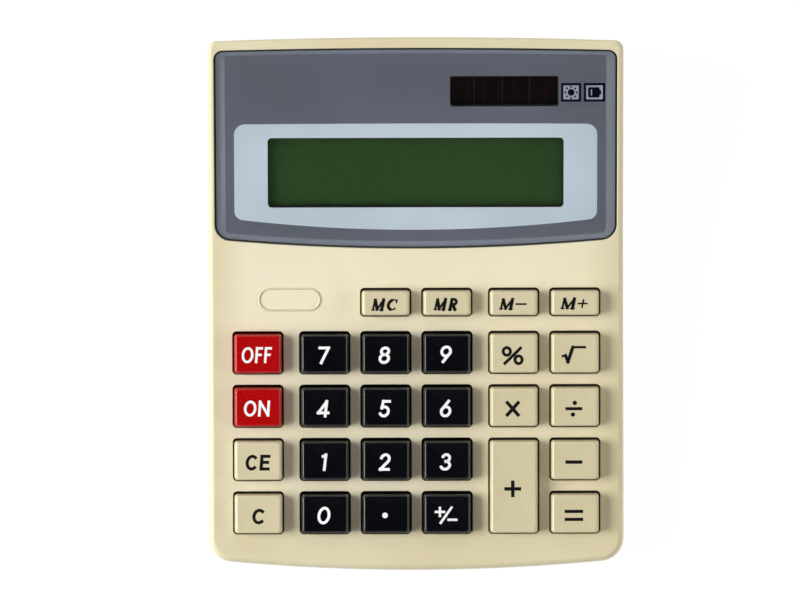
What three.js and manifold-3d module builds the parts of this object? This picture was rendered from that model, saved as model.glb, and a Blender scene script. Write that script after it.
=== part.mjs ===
// Desktop calculator with a raised display, 27 keys, a solar cell and one round cell.
// Millimetres. +X is the user's right, +Y runs from the keys to the display, +Z is up.
// The origin lies on the table, under the middle of the case.

import * as THREE from "three";
import { mergeVertices } from "three/addons/utils/BufferGeometryUtils.js";
import { LoftGeometry } from "three/addons/geometries/LoftGeometry.js";
import Module from "manifold-3d";

const wasm = await Module();
wasm.setup();

// Driving dimensions: the case

const caseWidth = 103.7;
const caseDepth = 132.8;
const frontHeight = 11.958;
const bendHeight = 20.04;
const rearHeight = 31.925;
const bendShare = 0.57902;
const bendReach = 2.6;
const frontBow = 500;
const rearBow = 1450;
const frontCorner = 6;
const rearCorner = 2.6;
const wall = 2;
const topFillet = 1.3;
const topDraft = 0.4;
const bottomFillet = 1.2;
const bottomDraft = 0.5;
const partingZ = 7;
const footHeight = 1;
const floorThickness = 2;
const lipWall = 0.9;
const lipHeight = 1.7;

// Clearances

const fitGap = 0.3;
const overrun = 1;

// Driving dimensions: the keypad, measured in its own sloping plane

const columnCount = 6;
const rowCount = 4;
const groupGapCount = 2;
const columnGap = 3;
const groupGap = 4.4;
const rowGap = 3.27;
const memoryGap = 4.3;
const memoryDepthShare = 0.6436;
const leftMargin = 6.45;
const rightMargin = 6.25;
const frontMargin = 9.05;
const rearMargin = 6.83;
const keyCorner = 0.8;
const keyRise = 3.2;
const keySkirt = 0.7;
const keySlopeX = 0.78;
const keySlopeY = 0.43;
const keyFillet = 0.35;
const keyWall = 1;
const keyInnerCorner = 0.5;
const keyRoof = 1.1;
const keyTravel = 1.5;
const keyHoleGap = 0.25;
const flangeReach = 0.85;
const flangeCorner = 2.5;
const flangeThickness = 1.2;
const plungerWidth = 2.8;

// Driving dimensions: mat and board under the keys

const matThickness = 1;
const matMargin = 7.6;
const domeRadius = 3.7;
const domeTopRadius = 2.2;
const domeWall = 0.8;
const boardThickness = 1.6;
const boardTongueGap = 0.6;
const boardTongueDepth = 4.6;
const chipRadius = 5.5;
const chipHeight = 1.3;

// Driving dimensions: the display, measured in its own sloping plane

const lensSideInset = 2.4;
const lensFrontY = 3.85;
const lensRearInset = 3.65;
const lensFrontBow = 520;
const lensRearBow = 2000;
const lensFrontCorner = 3.5;
const lensRearCorner = 1.8;
const lensThickness = 2;
const lensProud = 0.3;
const lensBevelX = 2.3;
const lensBevelY = 1.3;
const lensBevelDrop = 0.9;
const lensGap = 0.5;
const trayWall = 1.4;
const panelSideInset = 10.45;
const panelFrontInset = 7;
const panelDepthShare = 0.4733;
const panelThickness = 1.8;
const viewSideInset = 2;
const viewFrontInset = 2.75;
const viewCorner = 1;
const frameBorder = 3;
const frameLip = 0.8;
const frameLedge = 3.5;
const cellStripWidth = 30;
const cellStripThickness = 1.1;
const cellStripInset = 27.45;
const cellStripGap = 0.75;
const cellStripRearInset = 5.4;
const cellWindowSideInset = 1.2;
const cellWindowFrontInset = 1;
const ribbonWidth = 50;
const ribbonThickness = 0.3;
const ribbonLanding = 3;

// Driving dimensions: battery trough and cover

const batteryDiameter = 14.5;
const batteryLength = 49.5;
const batteryNubRadius = 2.75;
const batteryNubLength = 1;
const batteryShoulder = 0.8;
const batteryInset = 14;
const batteryGap = 0.35;
const troughWall = 1.3;
const springLength = 6.2;
const springWire = 0.7;
const springBaseRadius = 4.6;
const springTipRadius = 3;
const springTurns = 4;
const plateSize = 9;
const plateThickness = 0.5;
const tailWidth = 3;
const tailReach = 2.4;
const tailDrop = 1.4;
const coverThickness = 1.6;
const coverCorner = 1;
const tabWidth = 6;
const tabSpacing = 36;
const tabThickness = 1.2;
const tabReach = 2.4;
const tabRoot = 1.5;
const latchWidth = 10;
const latchThickness = 1;
const latchHeight = 2.2;
const latchInset = 0.6;
const notchWidth = 12;
const notchDepth = 3.5;
const notchHeight = 1.2;

// Driving dimensions: screws, posts, ribs, feet, wires and the moulded outline on top

const screwSideShare = 0.194;
const screwFrontInset = 4.6;
const screwSideInset = 7.5;
const screwBendInset = 1;
const screwRearInset = 7.4;
const caseScrewRadius = 1.1;
const caseScrewHeadRadius = 2.3;
const caseScrewHeadHeight = 1.6;
const caseScrewSeatZ = 4.2;
const caseScrewBite = 3.2;
const caseBossRadius = 2.6;
const casePostRadius = 3.4;
const boardScrewRadius = 0.7;
const boardScrewHeadRadius = 1.6;
const boardScrewHeadHeight = 0.9;
const boardScrewBite = 3.4;
const boardBossRadius = 1.85;
const screwTip = 0.5;
const screwHeadEdge = 0.4;
const ribThickness = 1.2;
const ribMargin = 7;
const ribShares = [-0.78, -0.16, 0.16, 0.78];
const footSideInset = 8.85;
const footFrontInset = 11.4;
const footRearInset = 18.4;
const footRadius = 4.5;
const footSeat = 0.6;
const footEdge = 0.4;
const wireRadius = 0.55;
const wireLift = 3.6;
const wireStep = 2.4;
const wiresOnTheRight = 3;
const wireBend = 3;
const outlineShare = 0.473;
const outlineSideInset = 0.5;
const outlineFrontInset = 0.3;
const outlineLift = 0.49;
const outlineLine = 0.6;
const outlineRise = 0.35;

// Numbers of facets

const arcSteps = 3;
const cornerSteps = 3;
const keyCornerSteps = 2;
const filletSteps = 3;
const bendSteps = 3;
const screwSides = 8;
const domeSides = 6;
const roundSides = 16;
const wireSides = 5;
const wireSteps = 12;
const springStepsPerTurn = 8;
const springSides = 5;

// Values that follow from the driving dimensions

const frontY = -caseDepth / 2;
const rearY = caseDepth / 2;
const bendY = frontY + caseDepth * bendShare;
const keypadTilt = Math.atan((bendHeight - frontHeight) / (bendY - frontY));
const displayTilt = Math.atan((rearHeight - bendHeight) / (rearY - bendY));
const keypadZ = frontHeight - frontY * Math.tan(keypadTilt);
const columnGaps = (columnCount - 1 - groupGapCount) * columnGap + groupGapCount * groupGap;
const keyWidth = (caseWidth - leftMargin - rightMargin - columnGaps) / columnCount;
const columnPitch = keyWidth + columnGap;
const groupPitch = keyWidth + groupGap;
const rowGaps = (rowCount - 1) * rowGap + memoryGap;
const keyDepth = (bendY - frontY - frontMargin - rearMargin - rowGaps) / (rowCount + memoryDepthShare);
const memoryKeyDepth = keyDepth * memoryDepthShare;
const rowPitch = keyDepth + rowGap;
const memoryRowStep = (keyDepth + memoryKeyDepth) / 2 + memoryGap;
const flangeTop = -(wall + fitGap);
const flangeBottom = flangeTop - flangeThickness;
const domeTop = flangeBottom - fitGap;
const matTop = flangeBottom - keyTravel - fitGap;
const matBottom = matTop - matThickness;
const boardTop = matBottom - fitGap;
const boardBottom = boardTop - boardThickness;
const recessFloor = lensProud - lensThickness - fitGap;
const trayBottom = recessFloor - trayWall;
const lensWidth = caseWidth - 2 * lensSideInset;
const lensRearY = (rearY - bendY) / Math.cos(displayTilt) - lensRearInset;
const panelWidth = lensWidth - 2 * panelSideInset;
const panelDepth = (lensRearY - lensFrontY) * panelDepthShare;
const panelCentreY = lensFrontY + panelFrontInset + panelDepth / 2;
const panelTop = trayBottom - fitGap;
const panelBottom = panelTop - panelThickness;
const viewWidth = panelWidth - 2 * viewSideInset;
const viewDepth = panelDepth - 2 * viewFrontInset;
const frameBottom = panelBottom - fitGap - frameLip;
const cellStripFront = panelCentreY + panelDepth / 2 + frameBorder + cellStripGap;
const cellStripRear = lensRearY - cellStripRearInset;
const cellStripDepth = cellStripRear - cellStripFront;
const cellStripX = lensWidth / 2 - cellStripInset;
const cellStripY = (cellStripFront + cellStripRear) / 2;
const floorTop = footHeight + floorThickness;
const coverTop = footHeight + coverThickness;
const batteryRadius = batteryDiameter / 2;
const batteryZ = coverTop + batteryGap + batteryRadius;
const batteryY = rearY - batteryInset;
const troughHalfDepth = batteryRadius + batteryGap + fitGap / 2;
const troughRoofZ = batteryZ + batteryRadius + batteryGap;
const batterySpan = batteryLength + batteryNubLength;
const troughHalfLength = (batterySpan + springLength + plateThickness + 4 * fitGap) / 2;
const springX = -troughHalfLength + fitGap;
const batteryX = springX + springLength + fitGap;
const plateX = batteryX + batterySpan + fitGap;
const hingeY = batteryY - troughHalfDepth + fitGap;
const caseScrewPlaces = [
  { x: caseWidth * screwSideShare, y: frontY + screwFrontInset },
  { x: caseWidth / 2 - screwSideInset, y: bendY - screwBendInset },
  { x: caseWidth / 2 - screwSideInset, y: rearY - screwRearInset },
];
const boardTongueWidth = caseWidth - 2 * (screwSideInset + casePostRadius + boardTongueGap);
const footPlaces = [
  { x: caseWidth / 2 - footSideInset, y: frontY + footFrontInset },
  {
    x: (troughHalfLength + troughWall + caseWidth / 2 - bottomDraft - bottomFillet) / 2,
    y: rearY - footRearInset,
  },
];

// Frames of the two sloping planes

/** Matrix of a plane through (0, y, z) that rises towards +Y at the given angle. */
function slopingFrame(y, z, angle) {
  return new THREE.Matrix4().makeTranslation(0, y, z).multiply(new THREE.Matrix4().makeRotationX(angle));
}

const keypadFrame = slopingFrame(0, keypadZ, keypadTilt);
const displayFrame = slopingFrame(bendY, bendHeight, displayTilt);

/** Height of the top surface over the line at y, with a smooth bend between the planes. */
function topZ(y) {
  const keypad = keypadZ + y * Math.tan(keypadTilt);
  const rise = Math.tan(displayTilt) - Math.tan(keypadTilt);
  const past = y - bendY + bendReach;
  if (past <= 0) return keypad;
  if (y >= bendY + bendReach) return keypad + (y - bendY) * rise;
  return keypad + (rise * past * past) / (4 * bendReach);
}

// Solids

/** Closed geometry, moved by an optional matrix, as a solid that can be joined and cut. */
function toSolid(geometry, matrix) {
  const bare = new THREE.BufferGeometry().copy(geometry);
  for (const name of Object.keys(bare.attributes)) {
    if (name !== "position") bare.deleteAttribute(name);
  }
  const merged = mergeVertices(bare);
  if (matrix) merged.applyMatrix4(matrix);
  const corners = merged.index.array;
  const kept = [];
  for (let i = 0; i < corners.length; i += 3) {
    const [a, b, c] = [corners[i], corners[i + 1], corners[i + 2]];
    if (a !== b && b !== c && c !== a) kept.push(a, b, c);
  }
  return new wasm.Manifold(
    new wasm.Mesh({
      numProp: 3,
      vertProperties: new Float32Array(merged.attributes.position.array),
      triVerts: new Uint32Array(kept),
    }),
  );
}

/** Geometry of a solid. */
function toGeometry(solid) {
  const mesh = solid.getMesh();
  const geometry = new THREE.BufferGeometry();
  geometry.setAttribute("position", new THREE.BufferAttribute(mesh.vertProperties, 3));
  geometry.setIndex(new THREE.BufferAttribute(mesh.triVerts, 1));
  return geometry;
}

/** Matrix that moves by x, y and z. */
function move(x, y, z) {
  return new THREE.Matrix4().makeTranslation(x, y, z);
}

/** Upright box between two heights. */
function block(width, depth, low, high, x = 0, y = 0) {
  const geometry = new THREE.BoxGeometry(width, depth, high - low);
  return geometry.translate(x, y, (low + high) / 2);
}

/** Upright round bar or cone between two heights, with its radius at the bottom and at the top. */
function round(lowRadius, low, high, x = 0, y = 0, sides = roundSides, highRadius = lowRadius) {
  const geometry = new THREE.CylinderGeometry(highRadius, lowRadius, high - low, sides);
  return geometry.rotateX(Math.PI / 2).translate(x, y, (low + high) / 2);
}

/** Right half of a rounded rectangle, from its front edge to its rear edge. */
function halfRectangle(halfWidth, halfDepth, corner, steps = keyCornerSteps) {
  const points = [];
  for (const [side, start] of [[-1, -Math.PI / 2], [1, 0]]) {
    for (let i = 0; i <= steps; i += 1) {
      const angle = start + (i / steps) * (Math.PI / 2);
      const x = halfWidth - corner + corner * Math.cos(angle);
      points.push(new THREE.Vector2(x, side * (halfDepth - corner) + corner * Math.sin(angle)));
    }
  }
  return points;
}

/**
 * Right half of an outline whose front and rear edges are bowed, from its front middle to its rear
 * middle. insetX and insetY draw its sides and its two ends in, and levels are places on the side.
 */
function halfBowed(outline, insetX = 0, insetY = insetX, levels = []) {
  const { halfWidth, front, rear, bowFront, bowRear, cornerFront, cornerRear } = outline;
  const half = halfWidth - insetX;
  const ends = [
    { y: front + insetY, side: 1, bow: bowFront - insetY, corner: Math.max(cornerFront - insetX, fitGap) },
    { y: rear - insetY, side: -1, bow: bowRear - insetY, corner: Math.max(cornerRear - insetX, fitGap) },
  ];
  const [frontPoints, rearPoints] = ends.map(({ y, side, bow, corner }) => {
    const middle = y + side * bow;
    const turn = Math.asin((half - corner) / (bow - corner));
    const cornerY = middle - side * (bow - corner) * Math.cos(turn);
    const points = [];
    for (let i = 0; i < arcSteps; i += 1) {
      const angle = (i / arcSteps) * turn;
      points.push(new THREE.Vector2(bow * Math.sin(angle), middle - side * bow * Math.cos(angle)));
    }
    for (let i = 0; i <= cornerSteps; i += 1) {
      const angle = turn + (i / cornerSteps) * (Math.PI / 2 - turn);
      const x = half - corner + corner * Math.sin(angle);
      points.push(new THREE.Vector2(x, cornerY - side * corner * Math.cos(angle)));
    }
    return points;
  });
  const sidePoints = levels.map((y) => new THREE.Vector2(half, y));
  return [...frontPoints, ...sidePoints, ...rearPoints.reverse()];
}

/** Ring of points from its right half, with the height at each point. */
function ring(half, height) {
  const left = half.filter((p) => p.x > 0).reverse();
  const whole = [...half, ...left.map((p) => new THREE.Vector2(-p.x, p.y))];
  return whole.map((p) => new THREE.Vector3(p.x, p.y, typeof height === "function" ? height(p.y) : height));
}

/** Geometry through rings that go upwards, closed flat at both ends. */
function loft(rings) {
  return new THREE.BufferGeometry().copy(new LoftGeometry(rings, { capStart: true, capEnd: true }));
}

/** Geometry through rings that go upwards, closed at the top over a ridge along the middle. */
function ridgedLoft(rings) {
  const ridge = rings.at(-1).map((p) => new THREE.Vector3(0, p.y, p.z));
  return new THREE.BufferGeometry().copy(new LoftGeometry([...rings, ridge], { capStart: true }));
}

/** Closed geometry of a half outline between two heights. */
function slab(half, low, high) {
  return loft([ring(half, low), ring(half, high)]);
}

/** Slab of a rounded rectangle about (x, y). */
function roundedSlab(width, depth, corner, low, high, x = 0, y = 0, steps = keyCornerSteps) {
  return slab(halfRectangle(width / 2, depth / 2, corner, steps), low, high).translate(x, y, 0);
}

// Outlines seen from above

const caseOutline = {
  halfWidth: caseWidth / 2,
  front: frontY,
  rear: rearY,
  bowFront: frontBow,
  bowRear: rearBow,
  cornerFront: frontCorner,
  cornerRear: rearCorner,
};
const lensOutline = {
  halfWidth: lensWidth / 2,
  front: lensFrontY,
  rear: lensRearY,
  bowFront: lensFrontBow,
  bowRear: lensRearBow,
  cornerFront: lensFrontCorner,
  cornerRear: lensRearCorner,
};
const bendLevels = [];
for (let i = 0; i <= bendSteps; i += 1) bendLevels.push(bendY - bendReach + (2 * bendReach * i) / bendSteps);

/** Solid under the top surface, drawn in by an inset, sunk by a depth, with an upper edge rounding. */
function underTop(inset, sink, fillet, low) {
  const rings = [ring(halfBowed(caseOutline, inset, inset, bendLevels), low)];
  for (let i = 0; i <= filletSteps; i += 1) {
    const angle = (i / filletSteps) * (Math.PI / 2);
    const drawn = inset + topDraft + fillet * (1 - Math.cos(angle));
    const drop = sink + fillet * (1 - Math.sin(angle));
    rings.push(ring(halfBowed(caseOutline, drawn, drawn, bendLevels), (y) => topZ(y) - drop));
  }
  return ridgedLoft(rings);
}

// Key places and kinds, in the keypad's plane

const columnX = [-caseWidth / 2 + leftMargin + keyWidth / 2];
for (const pitch of [groupPitch, columnPitch, columnPitch, groupPitch, columnPitch]) {
  columnX.push(columnX.at(-1) + pitch);
}
const rowY = [frontY + frontMargin + keyDepth / 2];
while (rowY.length < rowCount) rowY.push(rowY.at(-1) + rowPitch);
const memoryRowY = rowY.at(-1) + memoryRowStep;
const ivory = 0xe4dabe;
const black = 0x14151c;
const red = 0xc81414;

const keys = [
  { name: "key_c", column: 0, row: 0, color: ivory },
  { name: "key_ce", column: 0, row: 1, color: ivory },
  { name: "key_on", column: 0, row: 2, color: red },
  { name: "key_off", column: 0, row: 3, color: red },
  { name: "key_0", column: 1, row: 0, color: black },
  { name: "key_point", column: 2, row: 0, color: black },
  { name: "key_sign", column: 3, row: 0, color: black },
  { name: "key_1", column: 1, row: 1, color: black },
  { name: "key_2", column: 2, row: 1, color: black },
  { name: "key_3", column: 3, row: 1, color: black },
  { name: "key_4", column: 1, row: 2, color: black },
  { name: "key_5", column: 2, row: 2, color: black },
  { name: "key_6", column: 3, row: 2, color: black },
  { name: "key_7", column: 1, row: 3, color: black },
  { name: "key_8", column: 2, row: 3, color: black },
  { name: "key_9", column: 3, row: 3, color: black },
  { name: "key_plus", column: 4, row: 0, rows: 2, color: ivory },
  { name: "key_multiply", column: 4, row: 2, color: ivory },
  { name: "key_percent", column: 4, row: 3, color: ivory },
  { name: "key_equals", column: 5, row: 0, color: ivory },
  { name: "key_minus", column: 5, row: 1, color: ivory },
  { name: "key_divide", column: 5, row: 2, color: ivory },
  { name: "key_root", column: 5, row: 3, color: ivory },
  { name: "key_mc", column: 2, row: 4, color: ivory },
  { name: "key_mr", column: 3, row: 4, color: ivory },
  { name: "key_m_minus", column: 4, row: 4, color: ivory },
  { name: "key_m_plus", column: 5, row: 4, color: ivory },
];
for (const key of keys) {
  const rows = key.rows ?? 1;
  key.x = columnX[key.column];
  key.y = key.row === rowY.length ? memoryRowY : rowY[key.row] + ((rows - 1) * rowPitch) / 2;
  key.depth = key.row === rowY.length ? memoryKeyDepth : keyDepth + (rows - 1) * rowPitch;
}

// Board screws stand where four keys meet
const boardScrewPlaces = [
  { x: (columnX[0] + columnX[1]) / 2, y: (rowY[0] + rowY[1]) / 2 },
  { x: (columnX[0] + columnX[1]) / 2, y: (rowY[2] + rowY[3]) / 2 },
  { x: (columnX[3] + columnX[4]) / 2, y: (rowY[1] + rowY[2]) / 2 },
  { x: (columnX[3] + columnX[4]) / 2, y: (rowY[3] + keyDepth / 2 + memoryRowY - memoryKeyDepth / 2) / 2 },
];

/** Both places of a pair left and right of the middle. */
function mirrored({ x, y }) {
  return [{ x: -x, y }, { x, y }];
}

const caseScrews = caseScrewPlaces.flatMap(mirrored);
const feet = footPlaces.flatMap(mirrored);

// Top case

/** Opening of one key through the top wall. */
function keyOpening(key) {
  const width = keyWidth + 2 * keyHoleGap;
  const depth = key.depth + 2 * keyHoleGap;
  const corner = keyCorner + keyHoleGap;
  return roundedSlab(width, depth, corner, -wall - overrun, overrun, key.x, key.y);
}

/** Bosses of the top case with their pilot holes, as one solid to add and one to cut. */
function topBosses() {
  const added = [];
  const cut = [];
  for (const { x, y } of caseScrews) {
    added.push(toSolid(round(caseBossRadius, partingZ + fitGap, topZ(y) - wall / 2, x, y, screwSides)));
    const top = partingZ + caseScrewBite + fitGap;
    cut.push(toSolid(round(caseScrewRadius + fitGap, partingZ - overrun, top, x, y, screwSides)));
  }
  for (const { x, y } of boardScrewPlaces) {
    added.push(toSolid(round(boardBossRadius, boardTop + fitGap, -wall / 2, x, y, screwSides), keypadFrame));
    const top = boardTop + fitGap + boardScrewBite;
    const hole = round(boardScrewRadius + fitGap, boardTop - overrun, top, x, y, screwSides);
    cut.push(toSolid(hole, keypadFrame));
  }
  return { added: wasm.Manifold.union(added), cut: wasm.Manifold.union(cut) };
}

/** Moulded stadium-shaped line that stands on the keypad plane. */
function mouldedOutline() {
  const width = groupPitch - 2 * outlineSideInset;
  const depth = memoryKeyDepth - 2 * outlineFrontInset;
  const inner = depth / 2 - outlineLine;
  const x = columnX[0] + groupPitch * outlineShare;
  const y = memoryRowY + outlineLift;
  const outer = roundedSlab(width, depth, depth / 2 - fitGap / 2, -wall / 2, outlineRise, x, y, cornerSteps);
  const hole = roundedSlab(
    width - 2 * outlineLine, 2 * inner, inner - fitGap / 2, -wall, outlineRise + overrun, x, y, cornerSteps,
  );
  return toSolid(outer, keypadFrame).subtract(toSolid(hole, keypadFrame));
}

/** Top case: shell, display tray, key openings, bosses and moulded line. */
function topCase() {
  const envelope = toSolid(underTop(0, 0, topFillet, partingZ));
  const hollow = toSolid(underTop(wall, wall, 0, partingZ - overrun));
  const rebateHalf = halfBowed(caseOutline, wall - lipWall - fitGap / 2);
  const rebate = toSolid(slab(rebateHalf, partingZ - overrun, partingZ + lipHeight + fitGap));
  const trayHalf = halfBowed(lensOutline, -lensGap - trayWall);
  const tray = toSolid(slab(trayHalf, trayBottom, overrun), displayFrame);
  const recess = toSolid(slab(halfBowed(lensOutline, -lensGap), recessFloor, lensProud + overrun), displayFrame);
  const low = trayBottom - overrun;
  const view = roundedSlab(viewWidth, viewDepth, viewCorner, low, 0, 0, panelCentreY);
  const stripWidth = cellStripWidth - 2 * cellWindowSideInset;
  const stripDepth = cellStripDepth - 2 * cellWindowFrontInset;
  const strip = roundedSlab(stripWidth, stripDepth, viewCorner, low, 0, cellStripX, cellStripY);
  const bosses = topBosses();
  let solid = envelope.subtract(hollow.subtract(tray)).add(bosses.added.intersect(envelope));
  solid = solid.subtract(rebate.subtract(bosses.added)).subtract(recess).subtract(bosses.cut);
  solid = solid.subtract(toSolid(view, displayFrame)).subtract(toSolid(strip, displayFrame));
  solid = solid.add(mouldedOutline());
  const openings = keys.map((key) => toSolid(keyOpening(key), keypadFrame));
  return solid.subtract(wasm.Manifold.union(openings));
}

// Bottom case

/** Board ribs that stand on the floor and follow the slope of the board. */
function boardRibs() {
  const slope = new THREE.Vector3(0, 0, boardBottom - fitGap).applyMatrix4(keypadFrame);
  const under = (y) => slope.z + (y - slope.y) * Math.tan(keypadTilt);
  const front = rowY[0];
  const rear = memoryRowY - ribMargin;
  const profile = new THREE.Shape();
  profile.moveTo(front, floorTop - floorThickness / 2);
  profile.lineTo(rear, floorTop - floorThickness / 2);
  profile.lineTo(rear, under(rear));
  profile.lineTo(front, under(front));
  const geometry = new THREE.ExtrudeGeometry(profile, { depth: ribThickness, bevelEnabled: false });
  geometry.rotateY(Math.PI / 2).rotateX(Math.PI / 2);
  geometry.translate(-ribThickness / 2, 0, 0);
  return ribShares.map((share) => toSolid(geometry, move((share * caseWidth) / 2, 0, 0)));
}

/** Battery trough: walls and roof to add, and the space for the cell, contacts and cover to cut. */
function trough() {
  const width = 2 * troughHalfLength;
  const depth = 2 * troughHalfDepth;
  const outer = block(
    width + 2 * troughWall, depth + 2 * troughWall, footHeight, troughRoofZ + troughWall, 0, batteryY,
  );
  const inner = block(width, depth, floorTop, troughRoofZ, 0, batteryY);
  const mouth = roundedSlab(width, depth, coverCorner, footHeight - overrun, floorTop + overrun, 0, batteryY);
  const cuts = [toSolid(inner), toSolid(mouth)];
  const swing = Math.hypot(tabReach, floorTop + fitGap + tabThickness - footHeight);
  for (const x of [-tabSpacing / 2, tabSpacing / 2]) {
    const high = footHeight + swing + fitGap;
    const wallY = batteryY - troughHalfDepth - troughWall;
    cuts.push(toSolid(block(tabWidth + 2 * fitGap, 4 * troughWall, floorTop, high, x, wallY)));
  }
  const notchY = batteryY + troughHalfDepth;
  cuts.push(toSolid(block(notchWidth, 2 * notchDepth, footHeight - overrun, footHeight + notchHeight, 0, notchY)));
  for (const side of [-1, 1]) {
    const x = side * (troughHalfLength + troughWall / 2);
    const high = batteryZ + plateSize / 2 + fitGap;
    const low = high - tailDrop - plateThickness - 2 * fitGap;
    cuts.push(toSolid(block(3 * troughWall, tailWidth + 2 * fitGap, low, high, x, batteryY)));
  }
  return { added: toSolid(outer), cut: wasm.Manifold.union(cuts) };
}

/** Screw posts of the bottom case, as one solid to add and one to cut. */
function bottomPosts() {
  const added = [];
  const cut = [];
  for (const { x, y } of caseScrews) {
    added.push(toSolid(round(casePostRadius, footHeight, partingZ, x, y)));
    cut.push(toSolid(round(caseScrewHeadRadius + fitGap, 0, caseScrewSeatZ + fitGap, x, y, screwSides)));
    cut.push(toSolid(round(caseScrewRadius + fitGap, 0, partingZ + overrun, x, y, screwSides)));
    const lipTop = partingZ + lipHeight + overrun;
    cut.push(toSolid(round(caseBossRadius + fitGap, partingZ, lipTop, x, y, screwSides)));
  }
  return { added: wasm.Manifold.union(added), cut: wasm.Manifold.union(cut) };
}

/** Bottom case: tray with drafted walls and rounded edge, lip, posts, ribs, trough and foot seats. */
function bottomCase() {
  const rings = [];
  for (let i = 0; i <= filletSteps; i += 1) {
    const angle = (i / filletSteps) * (Math.PI / 2);
    const drawn = bottomDraft + bottomFillet * (1 - Math.sin(angle));
    rings.push(ring(halfBowed(caseOutline, drawn), footHeight + bottomFillet * (1 - Math.cos(angle))));
  }
  rings.push(ring(halfBowed(caseOutline), partingZ - fitGap));
  const lipOuter = wall - lipWall + fitGap / 2;
  const lipTop = partingZ + lipHeight;
  const outside = toSolid(loft(rings));
  const shell = outside.add(toSolid(slab(halfBowed(caseOutline, lipOuter), floorTop, lipTop)));
  const inner = lipOuter + lipWall;
  const hollow = toSolid(
    loft([
      ring(halfBowed(caseOutline, inner + bottomDraft), floorTop),
      ring(halfBowed(caseOutline, inner), partingZ - fitGap),
      ring(halfBowed(caseOutline, inner), lipTop + overrun),
    ]),
  );
  const posts = bottomPosts();
  const holder = trough();
  let solid = shell.subtract(hollow).add(posts.added.intersect(outside)).add(holder.added);
  for (const rib of boardRibs()) solid = solid.add(rib);
  solid = solid.subtract(posts.cut).subtract(holder.cut);
  for (const { x, y } of feet) {
    const seat = round(footRadius + fitGap, footHeight - overrun, footHeight + footSeat, x, y);
    solid = solid.subtract(toSolid(seat));
  }
  return solid;
}

// Keys, mat and board, in the keypad's plane

/** Hollow key cap with a flange, sloping sides, a rounded top edge and a plunger inside. */
function keyCap(key) {
  const halfWidth = keyWidth / 2;
  const halfDepth = key.depth / 2;
  const shelf = halfRectangle(halfWidth + flangeReach, halfDepth + flangeReach, flangeCorner);
  const skirt = halfRectangle(halfWidth, halfDepth, keyCorner);
  const shoulder = halfRectangle(halfWidth - keySlopeX, halfDepth - keySlopeY, keyCorner);
  const inX = keySlopeX + keyFillet;
  const inY = keySlopeY + keyFillet;
  const crown = halfRectangle(halfWidth - inX, halfDepth - inY, keyCorner - keyFillet);
  const outside = loft([
    ring(shelf, flangeBottom),
    ring(shelf, flangeTop),
    ring(skirt, flangeTop),
    ring(skirt, keySkirt),
    ring(shoulder, keyRise - keyFillet),
    ring(crown, keyRise),
  ]);
  const inWidth = halfWidth - keyWall;
  const inDepth = halfDepth - keyWall;
  const innerLow = halfRectangle(inWidth, inDepth, keyInnerCorner, 1);
  const innerHigh = halfRectangle(inWidth - keySlopeX, inDepth - keySlopeY, keyInnerCorner, 1);
  const inside = loft([ring(innerLow, flangeBottom - overrun), ring(innerHigh, keyRise - keyRoof)]);
  const plunger = block(plungerWidth, plungerWidth, flangeBottom, keyRise - keyRoof / 2);
  return toSolid(outside).subtract(toSolid(inside)).add(toSolid(plunger));
}

const matHalfWidth = (columnX.at(-1) - columnX[0]) / 2 + matMargin;
const matX = (columnX.at(-1) + columnX[0]) / 2;
const matFront = rowY[0] - keyDepth / 2;
const matRear = memoryRowY + memoryKeyDepth / 2 + flangeReach + fitGap;

/** Rubber mat: a sheet with a hollow dome under each key and holes for the bosses. */
function keyMat() {
  const depth = matRear - matFront;
  const middle = (matRear + matFront) / 2;
  const sheet = roundedSlab(2 * matHalfWidth, depth, keyCorner, matBottom, matTop, matX, middle);
  const added = [toSolid(sheet)];
  const cut = [];
  for (const { x, y, depth: keyDeep } of keys) {
    const share = Math.min(1, keyDeep / keyDepth);
    added.push(
      toSolid(round(domeRadius * share, matTop - matThickness / 2, domeTop, x, y, domeSides, domeTopRadius * share)),
    );
    const inner = domeRadius * share - domeWall;
    const innerTop = domeTopRadius * share - domeWall;
    cut.push(
      toSolid(round(inner, matBottom - overrun, domeTop - domeWall, x, y, domeSides, innerTop)),
    );
  }
  for (const { x, y } of boardScrewPlaces) {
    const hole = round(boardBossRadius + fitGap, matBottom - overrun, matTop + overrun, x, y, screwSides);
    cut.push(toSolid(hole));
  }
  return wasm.Manifold.union(added).subtract(wasm.Manifold.union(cut));
}

const boardRear = matRear + boardTongueDepth;

/** Main board: a plate under the mat with a narrower tongue behind it and four screw holes. */
function mainBoard() {
  const depth = matRear - matFront;
  const middle = (matRear + matFront) / 2;
  const plate = toSolid(block(2 * matHalfWidth, depth, boardBottom, boardTop, matX, middle));
  const tongueFront = matRear - keyDepth;
  const tongue = block(
    boardTongueWidth, boardRear - tongueFront, boardBottom, boardTop, 0, (boardRear + tongueFront) / 2,
  );
  let solid = plate.add(toSolid(tongue));
  for (const { x, y } of boardScrewPlaces) {
    const hole = round(boardScrewRadius + fitGap, boardBottom - overrun, boardTop + overrun, x, y, screwSides);
    solid = solid.subtract(toSolid(hole));
  }
  return solid;
}

/** Resin cap over the chip, a flat dome under the board. */
function chipCap() {
  const profile = [new THREE.Vector2(0, 0)];
  for (let i = 0; i <= filletSteps; i += 1) {
    const angle = (i / filletSteps) * (Math.PI / 2);
    profile.push(new THREE.Vector2(chipRadius * Math.cos(angle), -chipHeight * Math.sin(angle)));
  }
  profile.at(-1).x = 0;
  return new THREE.LatheGeometry(profile.reverse(), roundSides).rotateX(Math.PI / 2);
}

// Display, in its own plane

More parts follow.
